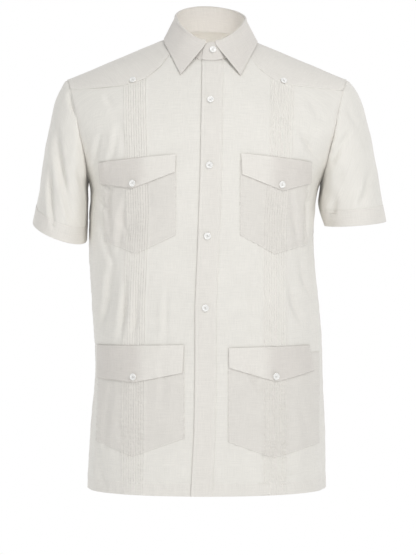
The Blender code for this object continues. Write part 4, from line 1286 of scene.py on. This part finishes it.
def build_buttons():
    data = button_mesh()
    spots, ways, ups = [], [], []
    holes = [[], [], []]
    for order, (name, host) in enumerate(BUTTON_HOSTS.items()):
        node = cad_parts[name]
        corners = np.array([vert.co for vert in node.data.vertices])
        middle = corners.mean(axis=0)
        axis = np.linalg.svd(corners - middle)[2][2]
        axis = axis if axis[1] < 0 else -axis
        start = Vector(middle + axis * 0.02)
        place, _, _, _ = host_faces[host].ray_cast(start, Vector(-axis))
        spin = Matrix.Rotation(math.radians(7 * (order % 5) - 12), 3, "Z")
        turn = Vector(axis).to_track_quat("Z", "Y").to_matrix() @ spin
        made = add_piece("shirt_" + name, data, "button", name)
        made.matrix_world = Matrix.Translation(place + Vector(axis) * SEWN) @ turn.to_4x4()
        for aside in (-1, 1):
            for level in (0, 1):
                out = turn @ Vector((aside * HOLE_OUT * 0.71, 0, level * 0.18 * MM))
                spots.append(place + Vector(axis) * (SEWN + 1.42 * MM) + out)
                ways.append(turn @ Vector((0.12 * aside * (1 - 2 * level), 1, 0)))
                ups.append(Vector(axis))
        if "yoke" in name:
            continue
        slit = Vector((0, 0, 1)) if host != "collar_stand" else Vector((1, 0, 0))
        slit = (slit - Vector(axis) * slit.dot(Vector(axis))).normalized()
        side_way = Vector(axis).cross(slit)
        for at in np.arange(-BUTTONHOLE / 2, BUTTONHOLE / 2, 0.55 * MM):
            for aside in (-0.75 * MM, 0.75 * MM):
                begin = place + slit * at + side_way * aside + Vector(axis) * 0.01
                hit, _, _, _ = host_faces[host].ray_cast(begin, Vector(-axis))
                if hit is not None:
                    holes[0].append(hit)
                    holes[1].append(side_way)
                    holes[2].append(Vector(axis))
    threads("button_thread", spots, ways, ups, 2.5 * MM, 0.26 * MM, 0.26 * MM, 0.0)
    threads("buttonholes", *holes, 1.25 * MM, 0.26 * MM, 0.22 * MM, 0.03 * MM)


# Materials

# Each cloth's second colour is painted shade. It is darker where layers of cloth lie doubled, because doubled
# cloth lets less light through, and on the flaps it darkens their outer halves.
CLOTH_COLOURS = {  # one layer, then more layers: the second is darker as painted shade
    "shirting": ((0.792, 0.768, 0.716), (0.775, 0.745, 0.695)),
    "pocket": ((0.745, 0.717, 0.669), (0.735, 0.705, 0.657)),
    "flap": ((0.790, 0.760, 0.709), (0.716, 0.681, 0.636)),
    "collar": ((0.735, 0.700, 0.655), (0.725, 0.690, 0.645)),
    "thread": ((0.900, 0.880, 0.840), (0.900, 0.880, 0.840)),
}
made_finishes = {}


def finish(kind):
    """The material of this kind, made the first time it is asked for."""
    if kind not in made_finishes:
        made = button_finish() if kind == "button" else cloth_finish(kind, *CLOTH_COLOURS[kind])
        made_finishes[kind] = made
    return made_finishes[kind]


class Nodes:
    """A short way to add and join a material's nodes."""

    def __init__(self, name):
        self.material = bpy.data.materials.new(name)
        self.material.use_nodes = True
        self.tree = self.material.node_tree
        self.shader = self.tree.nodes["Principled BSDF"]

    def add(self, kind, sources=(), **settings):
        node = self.tree.nodes.new(kind)
        for name, value in settings.items():
            setattr(node, name, value)
        for socket, source in dict(sources).items():
            if isinstance(source, bpy.types.NodeSocket):
                self.tree.links.new(source, node.inputs[socket])
            else:
                node.inputs[socket].default_value = source
        return node

    def drive(self, socket, source):
        self.tree.links.new(source, self.shader.inputs[socket])

    def fix(self, values):
        """Sets the shader's sockets that are the same all over."""
        for socket, value in values.items():
            self.shader.inputs[socket].default_value = value

    def ramp(self, value, low, high, first, last):
        """first where the value is low, last where it is high, and even between."""
        return self.add("ShaderNodeMapRange", {0: value, 1: low, 2: high, 3: first, 4: last}).outputs[0]

    def math(self, operation, first, second=0.0):
        return self.add("ShaderNodeMath", {0: first, 1: second}, operation=operation).outputs[0]

    def noise(self, vector, scale, detail=2.0, roughness=0.5):
        sources = {"Vector": vector, "Scale": scale, "Detail": detail, "Roughness": roughness}
        return self.add("ShaderNodeTexNoise", sources).outputs["Fac"]

    def scaled(self, vector, factors):
        return self.add("ShaderNodeVectorMath", {0: vector, 1: factors}, operation="MULTIPLY").outputs[0]


def cloth_finish(kind, single, layered_shade):
    n = Nodes("cloth_" + kind)
    place = n.add("ShaderNodeTexCoord").outputs["Object"]
    woven = n.add("ShaderNodeAttribute", attribute_name="grain").outputs["Vector"]
    ply_shade = n.add("ShaderNodeAttribute", attribute_name="ply_shade").outputs["Fac"]
    warp = n.noise(n.scaled(woven, (1150.0, 42.0, 1.0)), 1.0, 3.0, 0.65)
    weft = n.noise(n.scaled(woven, (36.0, 1000.0, 1.0)), 1.0, 3.0, 0.65)
    cloudy = n.noise(place, 22.0, 3.0, 0.55)
    crumple = n.noise(n.scaled(place, (1.0, 1.0, 0.6)), 70.0, 4.0, 0.55)
    fine = n.noise(place, 420.0, 2.0, 0.5)
    ends = n.add("ShaderNodeSeparateXYZ", {0: woven})
    over = n.math("SINE", n.math("MULTIPLY", ends.outputs[0], 2 * math.pi / 0.00050))
    under = n.math("SINE", n.math("MULTIPLY", ends.outputs[1], 2 * math.pi / 0.00055))
    weave = n.math("MULTIPLY", over, under)
    yarn = n.math("ADD", n.math("MULTIPLY", warp, 0.5), n.math("MULTIPLY", weft, 0.5))
    # Painted shade: the colour moves from the one-layer colour towards the darker one by the shade attribute,
    # and past the darker one where that attribute is above 1.
    mixed = {0: ply_shade, 6: (*single, 1), 7: (*layered_shade, 1)}
    tone = n.add("ShaderNodeMix", mixed, data_type="RGBA", clamp_factor=False)
    lighter = n.ramp(yarn, 0.30, 0.70, 0.915, 1.07)
    patchy = n.ramp(cloudy, 0.30, 0.70, 0.985, 1.015)
    threads_tone = n.ramp(weave, -1.0, 1.0, 0.97, 1.03)
    level = n.math("MULTIPLY", n.math("MULTIPLY", lighter, patchy), threads_tone)
    colour = n.add("ShaderNodeVectorMath", {0: tone.outputs[2], 1: level}, operation="MULTIPLY").outputs[0]
    n.drive("Base Color", colour)
    rough = n.ramp(yarn, 0.30, 0.70, 0.84, 0.70)
    n.drive("Roughness", rough)
    height = n.math("MULTIPLY", crumple, 0.55)
    height = n.math("ADD", height, n.math("MULTIPLY", fine, 0.05))
    height = n.math("ADD", height, n.math("MULTIPLY", yarn, 0.16))
    height = n.math("ADD", height, n.math("MULTIPLY", weave, 0.022))
    bump = n.add("ShaderNodeBump", {"Height": height, "Strength": 0.55, "Distance": 1.1 * MM})
    n.drive("Normal", bump.outputs[0])
    n.fix({"Sheen Weight": 0.18, "Sheen Roughness": 0.45, "Specular IOR Level": 0.28})
    return n.material


def button_finish():
    n = Nodes("button")
    place = n.add("ShaderNodeTexCoord").outputs["Object"]
    cloudy = n.noise(n.scaled(place, (1.0, 1.0, 2.0)), 260.0, 3.0, 0.6)
    tone = n.ramp(cloudy, 0.3, 0.7, 0.93, 1.03)
    colour = n.add("ShaderNodeVectorMath", {0: (0.90, 0.89, 0.865), 1: tone}, operation="MULTIPLY").outputs[0]
    n.drive("Base Color", colour)
    rough = n.ramp(n.noise(place, 900.0, 2.0), 0.3, 0.7, 0.16, 0.30)
    n.drive("Roughness", rough)
    bump = n.add("ShaderNodeBump", {"Height": cloudy, "Strength": 0.15, "Distance": 0.2 * MM})
    n.drive("Normal", bump.outputs[0])
    n.fix({"Coat Weight": 0.35, "Coat Roughness": 0.12})
    return n.material


# The pieces, built in turn, with the faces that buttons are set on and the stitch lines that are sewn last


host_faces = {}
stitch_lines = []

seams = [build_front(1, "front_left"), build_front(-1, "front_right")]
build_placket()
build_back()
build_yoke(seams)
for sleeve_side, sleeve_name in ((1, "left"), (-1, "right")):
    build_sleeve(sleeve_side, sleeve_name)
build_collar()
for pocket_name, (flap_corners, pocket_corners) in POCKETS.items():
    build_pocket(pocket_name, flap_corners, pocket_corners)
    build_flap(pocket_name, flap_corners)
build_buttons()
sew()


# Stage, light and camera

FLOOR_Z = -1.45
FLOOR_RADIUS = 3.2


def stage():
    shape = bmesh.new()
    bmesh.ops.create_circle(
        shape, cap_ends=True, segments=96, radius=FLOOR_RADIUS, matrix=Matrix.Translation((0, 0, FLOOR_Z))
    )
    data = bpy.data.meshes.new("floor")
    shape.to_mesh(data)
    shape.free()
    n = Nodes("floor")
    place = n.add("ShaderNodeTexCoord").outputs["Object"]
    tone = n.ramp(n.noise(place, 3.0, 2.0), 0.3, 0.7, 0.93, 0.95)
    n.drive("Base Color", tone)
    # Painted glow: the floor's white emission is weak at its middle and grows towards its rim, so that its
    # edge fades into the white background.
    n.fix({"Roughness": 0.9, "Emission Color": (1, 1, 1, 1)})
    out = n.add("ShaderNodeVectorMath", {0: place}, operation="LENGTH").outputs["Value"]
    rim = n.ramp(out, 2.2, FLOOR_RADIUS - 0.1, 0.25, 0.9)
    n.drive("Emission Strength", rim)
    data.materials.append(n.material)
    made = add_object("floor", data)


LIGHTS = (  # name, place, aim, size, watts
    ("key", (1.4, -2.2, 1.3), (0.0, 0.0, -0.35), 0.6, 27),
    ("fill", (-1.9, -2.6, 0.2), (0.0, 0.0, -0.4), 1.6, 11),
    ("neck", (0.0, -1.5, 1.5), (0.0, 0.05, 0.0), 0.4, 5),
    ("rear_left", (2.2, 2.4, 1.2), (0.0, 0.0, -0.4), 1.6, 22),
    ("rear_right", (-2.2, 2.4, 1.0), (0.0, 0.0, -0.4), 1.6, 22),
)
AMBIENT = 0.50
INNER_PLACE = (0.006, -0.030, -0.120)  # inside the shirt, for what shows through the neck
INNER_WATTS = 0.36


def light_up():
    for name, place, aim, size, watts in LIGHTS:
        data = bpy.data.lights.new(name, "AREA")
        data.shape, data.size, data.energy = "DISK", size, watts
        made = add_object(name, data)
        made.location = place
        made.rotation_mode = "QUATERNION"
        made.rotation_quaternion = (Vector(aim) - Vector(place)).to_track_quat("-Z", "Y")
    data = bpy.data.lights.new("inner", "POINT")
    data.energy, data.shadow_soft_size = INNER_WATTS, 0.05
    add_object("inner", data).location = INNER_PLACE
    world = bpy.data.worlds.new("studio")
    world.use_nodes = True
    tree = world.node_tree
    shown, lighting = tree.nodes["Background"], tree.nodes.new("ShaderNodeBackground")
    shown.inputs["Color"].default_value = (1.0, 1.0, 1.0, 1)
    lighting.inputs["Color"].default_value = (0.97, 0.985, 1.0, 1)
    lighting.inputs["Strength"].default_value = AMBIENT
    seen, mixed = tree.nodes.new("ShaderNodeLightPath"), tree.nodes.new("ShaderNodeMixShader")
    tree.links.new(seen.outputs["Is Camera Ray"], mixed.inputs[0])
    tree.links.new(lighting.outputs[0], mixed.inputs[1])
    tree.links.new(shown.outputs[0], mixed.inputs[2])
    tree.links.new(mixed.outputs[0], tree.nodes["World Output"].inputs["Surface"])
    bpy.context.scene.world = world
    bpy.context.scene.view_settings.view_transform = "Standard"


CAMERA_BACK = 3.0
CAMERA_X = 0.0017
CAMERA_Z = -0.401


def camera():
    data = bpy.data.cameras.new("camera")
    data.sensor_width, data.lens = 36, 115.2
    made = add_object("camera", data)
    made.location = (CAMERA_X, -CAMERA_BACK, CAMERA_Z)
    made.rotation_euler = (math.pi / 2, 0, 0)
    bpy.context.scene.camera = made


stage()
light_up()
camera()
